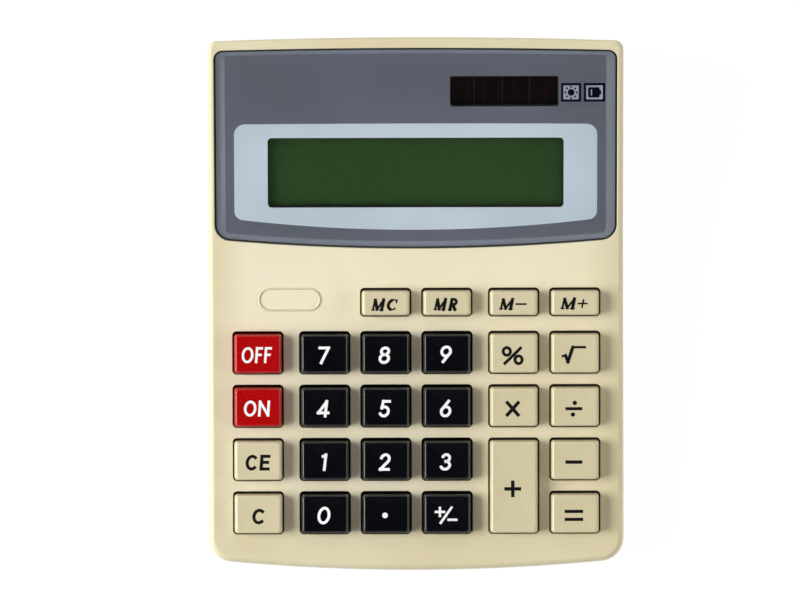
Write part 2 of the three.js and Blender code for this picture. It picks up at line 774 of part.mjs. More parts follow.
/** Display window: a plate with the bowed outline and a wide rounded bevel. */
function displayLens() {
  const rings = [
    ring(halfBowed(lensOutline), lensProud - lensThickness),
    ring(halfBowed(lensOutline), lensProud - lensBevelDrop),
  ];
  for (let i = 1; i <= filletSteps; i += 1) {
    const angle = (i / filletSteps) * (Math.PI / 2);
    const share = 1 - Math.cos(angle);
    const height = lensProud - lensBevelDrop * (1 - Math.sin(angle));
    rings.push(ring(halfBowed(lensOutline, lensBevelX * share, lensBevelY * share), height));
  }
  return loft(rings);
}

/** Frame that holds the display from below, open at the front for the ribbon and clear of the trough. */
function lcdFrame() {
  const outer = roundedSlab(
    panelWidth + 2 * frameBorder, panelDepth + 2 * frameBorder, viewCorner, frameBottom, panelTop, 0, panelCentreY,
  );
  const pocketWidth = panelWidth + 2 * fitGap;
  const pocketDepth = panelDepth + 2 * fitGap;
  const pocket = block(
    pocketWidth, pocketDepth, panelBottom - fitGap, panelTop + overrun, 0, panelCentreY,
  );
  const openDepth = panelDepth - frameLedge + frameBorder + overrun;
  const openY = panelCentreY + panelDepth / 2 - frameLedge - openDepth / 2;
  const open = block(
    panelWidth - 2 * frameLedge, openDepth, frameBottom - overrun, panelBottom, 0, openY,
  );
  const relief = block(
    2 * (troughHalfLength + troughWall + fitGap), 2 * (troughHalfDepth + troughWall + fitGap), footHeight,
    troughRoofZ + troughWall + fitGap, 0, batteryY,
  );
  const cut = toSolid(open).add(toSolid(relief, displayFrame.clone().invert()));
  return toSolid(outer).subtract(toSolid(pocket)).subtract(cut);
}

/** Ribbon from under the display's front ledge down to the rear edge of the board. */
function lcdRibbon() {
  const lift = fitGap + ribbonThickness / 2;
  const panelEdge = panelCentreY - panelDepth / 2;
  const start = new THREE.Vector3(0, panelEdge + ribbonLanding, panelBottom - lift).applyMatrix4(displayFrame);
  const lead = new THREE.Vector3(0, panelEdge - ribbonLanding, panelBottom - lift).applyMatrix4(displayFrame);
  const landing = new THREE.Vector3(0, boardRear + ribbonLanding, boardTop + lift).applyMatrix4(keypadFrame);
  const end = new THREE.Vector3(0, matRear + lift + fitGap, boardTop + lift).applyMatrix4(keypadFrame);
  const middle = new THREE.CubicBezierCurve(
    ...[start, lead, landing, end].map((p) => new THREE.Vector2(p.y, p.z)),
  );
  const upper = [];
  const lower = [];
  for (let i = 0; i <= wireSteps; i += 1) {
    const point = middle.getPoint(i / wireSteps);
    const along = middle.getTangent(i / wireSteps);
    const out = new THREE.Vector2(-along.y, along.x).multiplyScalar(ribbonThickness / 2);
    upper.push(point.clone().add(out));
    lower.push(point.clone().sub(out));
  }
  const profile = new THREE.Shape([...upper, ...lower.reverse()]);
  const geometry = new THREE.ExtrudeGeometry(profile, { depth: ribbonWidth, bevelEnabled: false });
  return geometry.rotateY(Math.PI / 2).rotateX(Math.PI / 2).translate(-ribbonWidth / 2, 0, 0);
}

// Battery, contacts and cover

/** Round cell along X, with its nub towards +X. */
function batteryCell() {
  const profile = [
    [0, 0],
    [batteryRadius - batteryShoulder, 0],
    [batteryRadius, batteryShoulder],
    [batteryRadius, batteryLength - batteryShoulder],
    [batteryRadius - batteryShoulder, batteryLength],
    [batteryNubRadius, batteryLength],
    [batteryNubRadius, batterySpan],
    [0, batterySpan],
  ].map(([radius, along]) => new THREE.Vector2(radius, along));
  return new THREE.LatheGeometry(profile, roundSides).rotateZ(-Math.PI / 2);
}

/** Curve of the coil contact: a cone of turns along X. */
class SpringCurve extends THREE.Curve {
  getPoint(t, target = new THREE.Vector3()) {
    const angle = 2 * Math.PI * springTurns * t;
    const radius = springBaseRadius + (springTipRadius - springBaseRadius) * t - springWire / 2;
    const along = springWire / 2 + (springLength - springWire) * t;
    return target.set(along, radius * Math.cos(angle), radius * Math.sin(angle));
  }
}

/** Coil contact that presses the flat end of the cell. */
function batterySpring() {
  const curve = new SpringCurve();
  const steps = springTurns * springStepsPerTurn;
  reportLeastGap(curve, steps);
  return new THREE.ExtrudeGeometry(roundSection(springWire / 2, springSides), { steps, extrudePath: curve });
}

/** Prints the least gap between neighbouring turns of the coil. */
function reportLeastGap(curve, steps) {
  let least = Infinity;
  for (let i = 0; i + springStepsPerTurn <= steps; i += 1) {
    const here = curve.getPoint(i / steps);
    const next = curve.getPoint((i + springStepsPerTurn) / steps);
    least = Math.min(least, here.distanceTo(next) - springWire);
  }
  console.log(`least gap between the turns of the spring: ${least.toFixed(2)} mm`);
}

/** Regular polygon as a section for a wire. */
function roundSection(radius, sides) {
  const points = [];
  for (let i = 0; i < sides; i += 1) {
    const angle = (2 * Math.PI * i) / sides;
    points.push(new THREE.Vector2(radius * Math.cos(angle), radius * Math.sin(angle)));
  }
  return new THREE.Shape(points);
}

/** Flat contact at the nub, with a tail that leaves through the slot in the end wall. */
function batteryPlate() {
  const high = batteryZ + plateSize / 2;
  const plate = block(plateThickness, plateSize, batteryZ - plateSize / 2, high, plateThickness / 2, batteryY);
  const reach = fitGap + troughWall + tailReach;
  const low = high - plateThickness;
  const tail = block(reach, tailWidth, low, high, plateThickness / 2 + reach / 2, batteryY);
  return toSolid(plate).add(toSolid(tail));
}

/** Battery cover: a plate with two tabs at its front edge and a springy latch at its rear edge. */
function batteryCover() {
  const width = 2 * (troughHalfLength - fitGap);
  const depth = 2 * (troughHalfDepth - fitGap);
  let solid = toSolid(roundedSlab(width, depth, coverCorner, footHeight, coverTop, 0, batteryY));
  const tabLow = floorTop + fitGap;
  for (const x of [-tabSpacing / 2, tabSpacing / 2]) {
    const rootY = hingeY + tabRoot / 2;
    solid = solid.add(toSolid(block(tabWidth, tabRoot, coverTop - fitGap, tabLow + tabThickness, x, rootY)));
    const reach = tabReach + tabRoot;
    const tabY = hingeY + tabRoot - reach / 2;
    solid = solid.add(toSolid(block(tabWidth, reach, tabLow, tabLow + tabThickness, x, tabY)));
  }
  const latchY = batteryY + depth / 2 - latchInset - latchThickness / 2;
  const latch = block(latchWidth, latchThickness, coverTop - fitGap, coverTop + latchHeight, 0, latchY);
  return solid.add(toSolid(latch));
}

// Screws, feet and wires

/** Screw along Z, its head below and its seat at zero. */
function screw(radius, headRadius, headHeight, length) {
  const profile = [
    [0, -headHeight],
    [headRadius - screwHeadEdge, -headHeight],
    [headRadius, -headHeight / 2],
    [headRadius, 0],
    [radius, 0],
    [radius, length - screwTip],
    [0, length],
  ].map(([across, along]) => new THREE.Vector2(across, along));
  return new THREE.LatheGeometry(profile, screwSides).rotateX(Math.PI / 2);
}

/** Rubber foot with a rounded lower edge. */
function foot() {
  const high = footHeight + footSeat - fitGap;
  const profile = [
    [0, 0],
    [footRadius - footEdge, 0],
    [footRadius, footEdge],
    [footRadius, high],
    [0, high],
  ].map(([across, along]) => new THREE.Vector2(across, along));
  return new THREE.LatheGeometry(profile, roundSides).rotateX(Math.PI / 2);
}

/** Insulated wire through a list of points. */
function wire(points) {
  const curve = new THREE.CatmullRomCurve3(points, false, "centripetal");
  return new THREE.ExtrudeGeometry(roundSection(wireRadius, wireSides), { steps: wireSteps, extrudePath: curve });
}

/** Points of a wire that comes down beside the trough at x and lands on the board in its own lane. */
function landingPoints(x, lane) {
  const seat = boardTop + fitGap + wireRadius;
  const landX = Math.sign(x) * (boardTongueWidth / 2 - (wiresOnTheRight - lane) * wireStep);
  const end = new THREE.Vector3(landX, matRear + wireBend / 2, seat).applyMatrix4(keypadFrame);
  const over = new THREE.Vector3(landX, boardRear, seat + wireRadius).applyMatrix4(keypadFrame);
  const low = floorTop + 2 * wireLift;
  return [
    new THREE.Vector3(x, batteryY - 2 * troughHalfDepth + wireBend, low),
    new THREE.Vector3(x, (batteryY + boardRear) / 2 - wireBend, low),
    over,
    end,
  ];
}

// Colours and surfaces

/** Plain standard material. */
function material(color, roughness, metalness = 0) {
  return new THREE.MeshStandardMaterial({ color, roughness, metalness, flatShading: true });
}

const materials = {
  ivory: material(ivory, 0.5),
  rubber: material(0x2b2b2d, 0.9),
  mat: material(0x9a9ba0, 0.8),
  lens: material(0x6a6c79, 0.12),
  panel: material(0x2f4628, 0.25),
  solar: material(0x1d100e, 0.2),
  board: material(0xb08a4a, 0.6),
  resin: material(0x101010, 0.4),
  ribbon: material(0xc99a4c, 0.5),
  cell: material(0xb9bcc2, 0.35, 0.8),
  steel: material(0xb8b9bb, 0.35, 1),
  redWire: material(0xb42020, 0.5),
  blackWire: material(0x1c1c1e, 0.5),
};

// Assembly

const calculator = new THREE.Group();
const keypad = new THREE.Group();
keypad.applyMatrix4(keypadFrame);
const display = new THREE.Group();
display.applyMatrix4(displayFrame);
calculator.add(keypad, display);

/** Adds a named piece to a group at a place. */
function add(group, name, shape, finish, x = 0, y = 0, z = 0) {
  const geometry = shape instanceof THREE.BufferGeometry ? shape : toGeometry(shape);
  const mesh = new THREE.Mesh(geometry, finish);
  mesh.name = name;
  mesh.position.set(x, y, z);
  group.add(mesh);
}

add(calculator, "top_case", topCase(), materials.ivory);
add(calculator, "bottom_case", bottomCase(), materials.ivory);

for (const key of keys) {
  add(keypad, key.name, keyCap(key), material(key.color, 0.35), key.x, key.y);
}
add(keypad, "key_mat", keyMat(), materials.mat);
add(keypad, "main_board", mainBoard(), materials.board);
add(keypad, "chip_cap", chipCap(), materials.resin, 0, memoryRowY - memoryRowStep, boardBottom - fitGap);

add(display, "display_lens", displayLens(), materials.lens);
add(display, "lcd_panel", block(panelWidth, panelDepth, panelBottom, panelTop, 0, panelCentreY), materials.panel);
add(display, "lcd_frame", lcdFrame(), materials.ivory);
const stripTop = trayBottom - fitGap;
const stripBottom = stripTop - cellStripThickness;
const strip = block(cellStripWidth, cellStripDepth, stripBottom, stripTop, cellStripX, cellStripY);
add(display, "solar_cell", strip, materials.solar);
add(calculator, "lcd_ribbon", lcdRibbon(), materials.ribbon);

add(calculator, "battery_cell", batteryCell(), materials.cell, batteryX, batteryY, batteryZ);
add(calculator, "battery_spring", batterySpring(), materials.steel, springX, batteryY, batteryZ);
add(calculator, "battery_plate", batteryPlate(), materials.steel, plateX);
add(calculator, "battery_cover", batteryCover(), materials.ivory);

const sideNames = ["left", "right"];
const caseScrewNames = ["front", "middle", "rear"];
caseScrews.forEach(({ x, y }, i) => {
  const length = partingZ - caseScrewSeatZ + caseScrewBite;
  const shape = screw(caseScrewRadius, caseScrewHeadRadius, caseScrewHeadHeight, length);
  const name = `case_screw_${caseScrewNames[Math.floor(i / 2)]}_${sideNames[i % 2]}`;
  add(calculator, name, shape, materials.steel, x, y, caseScrewSeatZ);
});
boardScrewPlaces.forEach(({ x, y }, i) => {
  const seat = boardBottom - fitGap;
  const length = boardScrewBite + boardThickness + fitGap;
  const shape = screw(boardScrewRadius, boardScrewHeadRadius, boardScrewHeadHeight, length);
  add(keypad, `board_screw_${i + 1}`, shape, materials.steel, x, y, seat);
});
feet.forEach(({ x, y }, i) => {
  const name = `foot_${["front", "rear"][Math.floor(i / 2)]}_${sideNames[i % 2]}`;
  add(calculator, name, foot(), materials.rubber, x, y);
});

const wireX = troughHalfLength + troughWall + wireStep;
const tailZ = batteryZ + plateSize / 2 - plateThickness / 2;
const tailX = plateX + plateThickness / 2 + fitGap + troughWall + tailReach;
for (const [name, side, finish] of [
  ["battery_wire_minus", -1, materials.blackWire],
  ["battery_wire_plus", 1, materials.redWire],
]) {
  const reach = side > 0 ? tailX + fitGap + wireRadius : troughHalfLength + fitGap;
  const start = new THREE.Vector3(side * reach, batteryY, tailZ);
  const turn = new THREE.Vector3(side * wireX, batteryY - wireBend, tailZ - wireBend);
  add(calculator, name, wire([start, turn, ...landingPoints(side * wireX, 0)]), finish);
}
[["solar_wire_plus", materials.redWire], ["solar_wire_minus", materials.blackWire]].forEach(([name, finish], i) => {
  const lane = i + 1;
  const x = wireX + lane * wireStep;
  const local = new THREE.Vector3(
    cellStripX + ((1 - i) * cellStripWidth) / 4, cellStripY + i * wireStep, stripBottom - fitGap - wireRadius,
  );
  const start = local.applyMatrix4(displayFrame);
  const turn = new THREE.Vector3(x - wireBend, start.y - wireBend / 2, start.z - wireRadius);
  const drop = new THREE.Vector3(x, start.y - 2 * wireBend, start.z - 2 * wireBend);
  add(calculator, name, wire([start, turn, drop, ...landingPoints(x, lane)]), finish);
});

export default calculator;
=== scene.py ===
"""Looks of a desktop calculator: keypad, raised display, solar window and one round cell.

Sizes are in millimetres and are turned to metres when a piece is placed. +X is the user's right,
+Y runs from the keys to the display and +Z is up. A piece that is drawn on a sloping plane has
its heights counted from that plane.
"""
from __future__ import annotations

import logging
import math
from dataclasses import dataclass, field
from enum import Enum
from typing import Callable, Iterable, Sequence

import bmesh
import bpy
from mathutils import Matrix, Vector


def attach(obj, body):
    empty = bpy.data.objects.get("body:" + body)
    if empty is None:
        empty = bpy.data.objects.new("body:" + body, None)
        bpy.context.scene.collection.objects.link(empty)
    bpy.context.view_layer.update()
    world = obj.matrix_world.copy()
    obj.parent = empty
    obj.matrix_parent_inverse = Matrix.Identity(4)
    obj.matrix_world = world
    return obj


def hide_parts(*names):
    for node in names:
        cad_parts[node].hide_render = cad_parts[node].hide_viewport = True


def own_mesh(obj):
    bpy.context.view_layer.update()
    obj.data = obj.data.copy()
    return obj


log = logging.getLogger("calculator")
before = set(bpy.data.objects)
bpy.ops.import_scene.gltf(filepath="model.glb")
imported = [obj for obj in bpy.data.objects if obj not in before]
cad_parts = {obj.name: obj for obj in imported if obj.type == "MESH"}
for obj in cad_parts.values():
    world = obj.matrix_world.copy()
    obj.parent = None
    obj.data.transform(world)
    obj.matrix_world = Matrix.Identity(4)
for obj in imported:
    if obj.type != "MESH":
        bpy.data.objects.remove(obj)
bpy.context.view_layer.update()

MM = 0.001
# Clearance between two pieces that fit together
FIT = 0.3
# How far a cutter reaches past the face that it opens
PAST = 1.0

Colour = tuple[float, float, float, float]
Node = bpy.types.Node
Socket = bpy.types.NodeSocket
Tree = bpy.types.NodeTree
Inputs = dict[str | int, object]
Point = tuple[float, float]
Profile = Sequence[Point]
Ring = list[Vector]
Corners = list[bmesh.types.BMVert]


# Nodes and colours


def linear(colour: str) -> Colour:
    """Turns an sRGB hex colour into linear values.

    Args:
        colour: Six hex digits.

    Returns:
        Red, green, blue and a full alpha.
    """
    values = [int(colour[i:i + 2], 16) / 255 for i in (0, 2, 4)]
    red, green, blue = [v / 12.92 if v <= 0.04045 else ((v + 0.055) / 1.055) ** 2.4 for v in values]
    return red, green, blue, 1.0


def feed(tree: Tree, node: Node, inputs: Inputs) -> None:
    """Links or sets inputs of a node.

    Args:
        tree: Node tree that holds the node.
        node: The node.
        inputs: A socket to link, or a value, by the name or number of the input.
    """
    for key, source in inputs.items():
        if isinstance(source, Socket):
            tree.links.new(source, node.inputs[key])
        else:
            node.inputs[key].default_value = source


def add_node(tree: Tree, kind: str, inputs: Inputs | None = None, **settings: object) -> Node:
    """Adds a node with its settings and links.

    Args:
        tree: Node tree that gets the node.
        kind: Type name of the node.
        inputs: A socket to link, or a value, by the name or number of the input.
        **settings: Attributes of the node.

    Returns:
        The new node.
    """
    node = tree.nodes.new(kind)
    for name, value in settings.items():
        setattr(node, name, value)
    feed(tree, node, inputs or {})
    return node


def per_metre(size: float) -> float:
    """Texture scale of a pattern whose marks are this many millimetres apart."""
    return 1 / (size * MM)


@dataclass(frozen=True)
class Marks:
    """Irregular marks: how far apart they are, their finer layers and the range that counts."""

    apart: float
    layers: float = 3.0
    faint: float = 0.3
    strong: float = 0.7

    def noise(self, place: Socket) -> Inputs:
        """Inputs of the noise that draws the marks."""
        return {"Vector": place, "Scale": per_metre(self.apart), "Detail": self.layers}


class Layer(Enum):
    """How a tone lies on the colour below it."""

    COVER = "MIX"
    DARKEN = "MULTIPLY"


class Skin:
    """Node tree of one material, with the effects that several finishes share."""

    def __init__(self, name: str) -> None:
        """Makes the material with its shader and the object's own coordinates.

        Args:
            name: Name of the material.
        """
        self.material = bpy.data.materials.new(name)
        self.material.use_nodes = True
        self.tree = self.material.node_tree
        self.shader = self.tree.nodes["Principled BSDF"]
        self.place = self.add("ShaderNodeTexCoord").outputs["Object"]

    def add(self, kind: str, inputs: Inputs | None = None, **settings: object) -> Node:
        """Adds a node to this material, as add_node does."""
        return add_node(self.tree, kind, inputs, **settings)

    def wear(self, inputs: Inputs) -> None:
        """Links or sets inputs of the shader."""
        feed(self.tree, self.shader, inputs)

    def uneven(self, marks: Marks, least: float = 0.0, most: float = 1.0) -> Socket:
        """Value that irregular marks spread between two ends.

        Args:
            marks: The marks.
            least: Value between the marks.
            most: Value on the marks.

        Returns:
            The value output.
        """
        noise = self.add("ShaderNodeTexNoise", marks.noise(self.place))
        return self.add("ShaderNodeMapRange", {
            "Value": noise.outputs["Fac"], "From Min": marks.faint, "From Max": marks.strong,
            "To Min": least, "To Max": most,
        }).outputs[0]

    def relief(self, marks: Marks, depth: float, strength: float, under: Socket | None = None) -> Socket:
        """Raises the surface by irregular marks.

        Args:
            marks: The marks.
            depth: Depth of the marks in millimetres.
            strength: Share of the effect.
            under: Normal of a coarser relief below this one.

        Returns:
            The normal output.
        """
        noise = self.add("ShaderNodeTexNoise", marks.noise(self.place))
        inputs = {"Height": noise.outputs["Fac"], "Distance": depth * MM, "Strength": strength}
        if under:
            inputs["Normal"] = under
        normal = self.add("ShaderNodeBump", inputs).outputs["Normal"]
        self.wear({"Normal": normal})
        return normal

    def lay(self, share: Socket, tone: str, layer: Layer = Layer.COVER) -> None:
        """Lays a tone on the colour that the surface has so far.

        Args:
            share: Value output from 0 to 1.
            tone: Hex colour of the tone.
            layer: How it lies on the colour below.
        """
        colour = self.shader.inputs["Base Color"]
        below = colour.links[0].from_socket if colour.is_linked else tuple(colour.default_value)
        inputs = {0: share, 6: below, 7: linear(tone)}
        mixed = self.add("ShaderNodeMix", inputs, data_type="RGBA", blend_type=layer.value)
        self.wear({"Base Color": mixed.outputs[2]})


# Finishes


@dataclass(frozen=True)
class Finish:
    """A real material with the way its surface was made."""

    name: str
    colour: str
    roughness: float = 0.5
    metallic: float = 0.0
    ior: float = 1.5

    def material(self) -> bpy.types.Material:
        """The Blender material, made once.

        Returns:
            The material, with the surface detail of the finish.
        """
        made = bpy.data.materials.get(self.name)
        if made:
            return made
        skin = Skin(self.name)
        skin.wear({
            "Base Color": linear(self.colour), "Roughness": self.roughness,
            "Metallic": self.metallic, "IOR": self.ior,
        })
        self.detail(skin)
        skin.material.diffuse_color = linear(self.colour)
        return skin.material

    def detail(self, skin: Skin) -> None:
        """Adds the pattern of the surface; a plain finish has none."""


@dataclass(frozen=True)
class MouldedAbs(Finish):
    """Injection-moulded ABS: a fine spark-eroded grain, slight yellowing and faint sink marks."""

    aged: str = ""
    blotch: Marks = Marks(38.0, 3.0, 0.35, 0.7)
    # Real grain is about 0.1 mm apart; it is drawn coarser so that it shows
    grain: Marks = Marks(0.45)
    grain_depth: float = 0.012
    polish: tuple[float, float] = (-0.05, 0.06)
    sink: Marks = Marks(16.0, 1.0)
    sink_depth: float = 0.03

    def detail(self, skin: Skin) -> None:
        """Grain breaks up highlights, and broad blotches of an aged tone keep the colour from being flat.

        Args:
            skin: Tree of the material.
        """
        skin.lay(skin.uneven(self.blotch), self.aged)
        smooth, rough = (self.roughness + change for change in self.polish)
        skin.wear({"Roughness": skin.uneven(self.grain, smooth, rough)})
        sink = skin.relief(self.sink, self.sink_depth, strength=0.5)
        skin.relief(self.grain, self.grain_depth, strength=0.6, under=sink)


@dataclass(frozen=True)
class CaseAbs(MouldedAbs):
    """Moulded ABS of the case, with painted shade that makes its outer margins darker and yellower, the front
    one most.
    """

    margin_shade_tone: str = "efeee3"
    margin_shade_from: float = 0.8
    margin_shade_to: float = 0.95
    front_shift: float = 3.5

    def detail(self, skin: Skin) -> None:
        """Darkens and yellows the colour towards the outline of the case, as painted shade.

        Args:
            skin: Tree of the material.
        """
        super().detail(skin)
        scaled = skin.add("ShaderNodeVectorMath", {
            0: skin.place, 1: (per_metre(HALF_WIDTH), per_metre(REAR_Y), 0),
            2: (0, -self.front_shift / REAR_Y, 0),
        }, operation="MULTIPLY_ADD")
        away = skin.add("ShaderNodeVectorMath", {0: scaled.outputs["Vector"]}, operation="ABSOLUTE")
        parts = skin.add("ShaderNodeSeparateXYZ", {0: away.outputs["Vector"]}).outputs
        most = skin.add("ShaderNodeMath", {0: parts["X"], 1: parts["Y"]}, operation="MAXIMUM")
        share = skin.add("ShaderNodeMapRange", {
            "Value": most.outputs[0], "From Min": self.margin_shade_from, "From Max": self.margin_shade_to,
        })
        # painted shade: darker and yellower towards the case's outline
        skin.lay(share.outputs[0], self.margin_shade_tone, Layer.DARKEN)


@dataclass(frozen=True)
class KeyAbs(MouldedAbs):
    """Moulded ABS of a key, with painted shade that darkens its sides down in the opening."""

    painted_shade_tone: str = "000000"
    painted_shade_share: float = 0.9
    unshaded_above: float = 0.7
    dark_below: float = -0.1

    def detail(self, skin: Skin) -> None:
        """Darkens the colour with the depth under the keypad's surface, as painted shade of the opening.

        Args:
            skin: Tree of the material.
        """
        super().detail(skin)
        up = KEYPAD.normal()
        base = KEYPAD.z * up[2]
        height = skin.add("ShaderNodeVectorMath", {0: skin.place, 1: up}, operation="DOT_PRODUCT")
        share = skin.add("ShaderNodeMapRange", {
            "Value": height.outputs["Value"], "From Min": (base + self.dark_below) * MM,
            "From Max": (base + self.unshaded_above) * MM, "To Min": self.painted_shade_share, "To Max": 0.0,
        })
        # painted shade: the cap gets darker the deeper it sits in its opening
        skin.lay(share.outputs[0], self.painted_shade_tone, Layer.DARKEN)


@dataclass(frozen=True)
class ClearAcrylic(Finish):
    """Clear cast acrylic with polished faces and a faint haze of dust and wiping marks."""

    wipes: Marks = Marks(9.0, 4.0, 0.4, 0.75)
    haze: float = 0.03

    def detail(self, skin: Skin) -> None:
        """See-through body with a gloss that fine wiping marks soften a little."""
        skin.wear({"Transmission Weight": 1.0, "Roughness": skin.uneven(self.wipes, 0.0, self.haze)})


@dataclass(frozen=True)
class ScreenInk(Finish):
    """Screen-printed ink: even, with a very fine mesh tooth."""

    second: str = ""
    gloss: float = 0.5
    tone: Marks = Marks(30.0, 2.0, 0.35, 0.65)
    mesh: Marks = Marks(0.35, 2.0)
    mesh_depth: float = 0.006

    def detail(self, skin: Skin) -> None:
        """Broad tone change and the tooth of the print mesh."""
        skin.wear({"Specular IOR Level": self.gloss})
        skin.lay(skin.uneven(self.tone), self.second)
        skin.relief(self.mesh, self.mesh_depth, strength=0.4)


@dataclass(frozen=True)
class DisplayGlass(Finish):
    """Liquid crystal panel at rest: glass over a green reflector, with no segment lit."""

    second: str = ""
    gloss: float = 0.08
    foil: Marks = Marks(0.5, 3.0, 0.35, 0.65)

    def detail(self, skin: Skin) -> None:
        """Fine sparkle of the reflector foil under an even dark green."""
        skin.wear({"Specular IOR Level": self.gloss})
        skin.lay(skin.uneven(self.foil), self.second)


@dataclass(frozen=True)
class LinedFilm(Finish):
    """Thin film with straight lines along Y, such as a silicon cell's grid or a ribbon's copper lanes."""

    line: str = ""
    apart: float = 1.0
    line_from: float = 0.45
    line_to: float = 0.55
    line_share: float = 1.0
    line_rise: float = 0.03
    gloss: float = 0.5

    def detail(self, skin: Skin) -> None:
        """Even lines that shine through the film, and stand up a little where they are thick.

        Args:
            skin: Tree of the material.
        """
        skin.wear({"Specular IOR Level": self.gloss})
        # One unit of the wave's scale gives 20 lines
        lines = skin.add("ShaderNodeTexWave", {
            "Vector": skin.place, "Scale": per_metre(self.apart) / 20, "Distortion": 0.0,
        }, wave_type="BANDS", bands_direction="X").outputs["Fac"]
        share = skin.add("ShaderNodeMapRange", {
            "Value": lines, "From Min": self.line_from, "From Max": self.line_to, "To Max": self.line_share,
        })
        skin.lay(share.outputs[0], self.line)
        if self.line_rise:
            raised = {"Height": lines, "Distance": self.line_rise * MM, "Strength": 0.5}
            skin.wear({"Normal": skin.add("ShaderNodeBump", raised).outputs["Normal"]})


@dataclass(frozen=True)
class MouldedRubber(Finish):
    """Compression-moulded rubber: matt, with a dry uneven bloom."""

    bloom: str = ""
    patches: Marks = Marks(3.0, 4.0, 0.4, 0.7)
    pits: Marks = Marks(0.4)
    pit_depth: float = 0.03

    def detail(self, skin: Skin) -> None:
        """Pale bloom in patches and a dry pitted skin."""
        skin.lay(skin.uneven(self.patches), self.bloom)
        skin.relief(self.pits, self.pit_depth, strength=0.6)


@dataclass(frozen=True)
class NickelSteel(Finish):
    """Steel with bright nickel plating: its draw marks spread the highlight."""

    drawn: Marks = Marks(0.15, 4.0)
    dull: Marks = Marks(2.5, 2.0)
    drawn_depth: float = 0.008
    polish: tuple[float, float] = (0.16, 0.42)
    spread_from: float = 0.1
    spread_to: float = 0.5

    def detail(self, skin: Skin) -> None:
        """Fine marks spread the highlight, and the plating is dull in patches.

        Args:
            skin: Tree of the material.
        """
        fine, broad = (
            skin.add("ShaderNodeTexNoise", marks.noise(skin.place)).outputs["Fac"]
            for marks in (self.drawn, self.dull)
        )
        both = skin.add("ShaderNodeMath", {0: fine, 1: broad}, operation="MULTIPLY").outputs[0]
        smooth, rough = self.polish
        spread = {
            "Value": both, "From Min": self.spread_from, "From Max": self.spread_to,
            "To Min": smooth, "To Max": rough,
        }
        skin.wear({"Roughness": skin.add("ShaderNodeMapRange", spread).outputs[0]})
        skin.relief(self.drawn, self.drawn_depth, strength=0.4)


@dataclass(frozen=True)
class PaperPhenolic(Finish):
    """Pressed paper phenolic board with a green-brown solder resist over copper tracks."""

    fibre: str = ""
    resist: str = ""
    mottle: Marks = Marks(1.2, 4.0)
    track: float = 2.2
    track_rise: float = 0.035
    edge_from: float = 0.1
    edge_to: float = 0.14

    def detail(self, skin: Skin) -> None:
        """Cells of tracks under the resist, and the mottled fibre of the board between them.

        Args:
            skin: Tree of the material.
        """
        skin.lay(skin.uneven(self.mottle), self.fibre)
        cells = skin.add("ShaderNodeTexVoronoi", {
            "Vector": skin.place, "Scale": per_metre(self.track),
        }, feature="DISTANCE_TO_EDGE", distance="CHEBYCHEV").outputs["Distance"]
        edge = {"Value": cells, "From Min": self.edge_from, "From Max": self.edge_to}
        track = skin.add("ShaderNodeMapRange", edge).outputs[0]
        skin.lay(track, self.resist)
        raised = {"Height": track, "Distance": self.track_rise * MM, "Strength": 0.7}
        skin.wear({"Normal": skin.add("ShaderNodeBump", raised).outputs["Normal"]})


@dataclass(frozen=True)
class ExtrudedPvc(Finish):
    """Extruded PVC insulation: smooth, slightly waxy, with faint drag lines."""

    sheen: Marks = Marks(1.5)
    polish: tuple[float, float] = (0.3, 0.5)
    drag: Marks = Marks(0.6, 2.0)
    drag_depth: float = 0.01

    def detail(self, skin: Skin) -> None:
        """Faint unevenness in the gloss from the extruder's die."""
        skin.wear({"Roughness": skin.uneven(self.sheen, *self.polish)})
        skin.relief(self.drag, self.drag_depth, strength=0.3)


@dataclass(frozen=True)
class CastEpoxy(Finish):
    """Epoxy dropped over the chip: black, with a poured skin and small pits."""

    wave: Marks = Marks(4.0, 2.0)
    wave_depth: float = 0.08
    pits: Marks = Marks(0.7)
    pit_depth: float = 0.02

    def detail(self, skin: Skin) -> None:
        """Soft waves and pits of a poured drop."""
        waves = skin.relief(self.wave, self.wave_depth, strength=0.6)
        skin.relief(self.pits, self.pit_depth, strength=0.5, under=waves)


@dataclass(frozen=True)
class PrintedJacket(Finish):
    """Shrunk metallised film round the cell: silver with a plain dark band at the nub end."""

    band: str = ""
    band_from: float = 0.0
    band_edge: float = 0.1
    creases: Marks = Marks(2.0)
    crease_depth: float = 0.03

    def detail(self, skin: Skin) -> None:
        """Dark band by the distance along the cell, and fine creases of the shrunk film.

        Args:
            skin: Tree of the material.
        """
        along = skin.add("ShaderNodeSeparateXYZ", {0: skin.place}).outputs["X"]
        share = skin.add("ShaderNodeMapRange", {
            "Value": along, "From Min": self.band_from * MM,
            "From Max": (self.band_from + self.band_edge) * MM,
        })
        skin.lay(share.outputs[0], self.band)
        skin.relief(self.creases, self.crease_depth, strength=0.4)


# Warm ivory with a silky grain, and painted shade that makes its margins darker and yellower
IVORY_CASE = CaseAbs("abs_ivory_spark_grain", "e6ddc2", 0.5, aged="e0d5b4")
# The same plastic, darker as painted shade on a raised line
IVORY_RIB = MouldedAbs("abs_ivory_rib_painted_shade", "cfc5a4", 0.55, aged="c4b992")
# Keys with a finer grain than the case, so they have a satin sheen
IVORY_KEY = KeyAbs("abs_ivory_satin", "d2c8a7", 0.3, aged="ccc19c", grain_depth=0.006)
BLACK_KEY = KeyAbs("abs_black_satin", "030308", 0.22, ior=1.42, aged="06060c", grain_depth=0.006)
RED_KEY = KeyAbs("abs_red_satin", "ac0103", 0.24, ior=1.42, aged="a00103", grain_depth=0.006)
# Clear and hard, so it mirrors the room in a low view and vanishes from above
LENS = ClearAcrylic("acrylic_clear_polished", "ffffff", 0.02, ior=1.49)
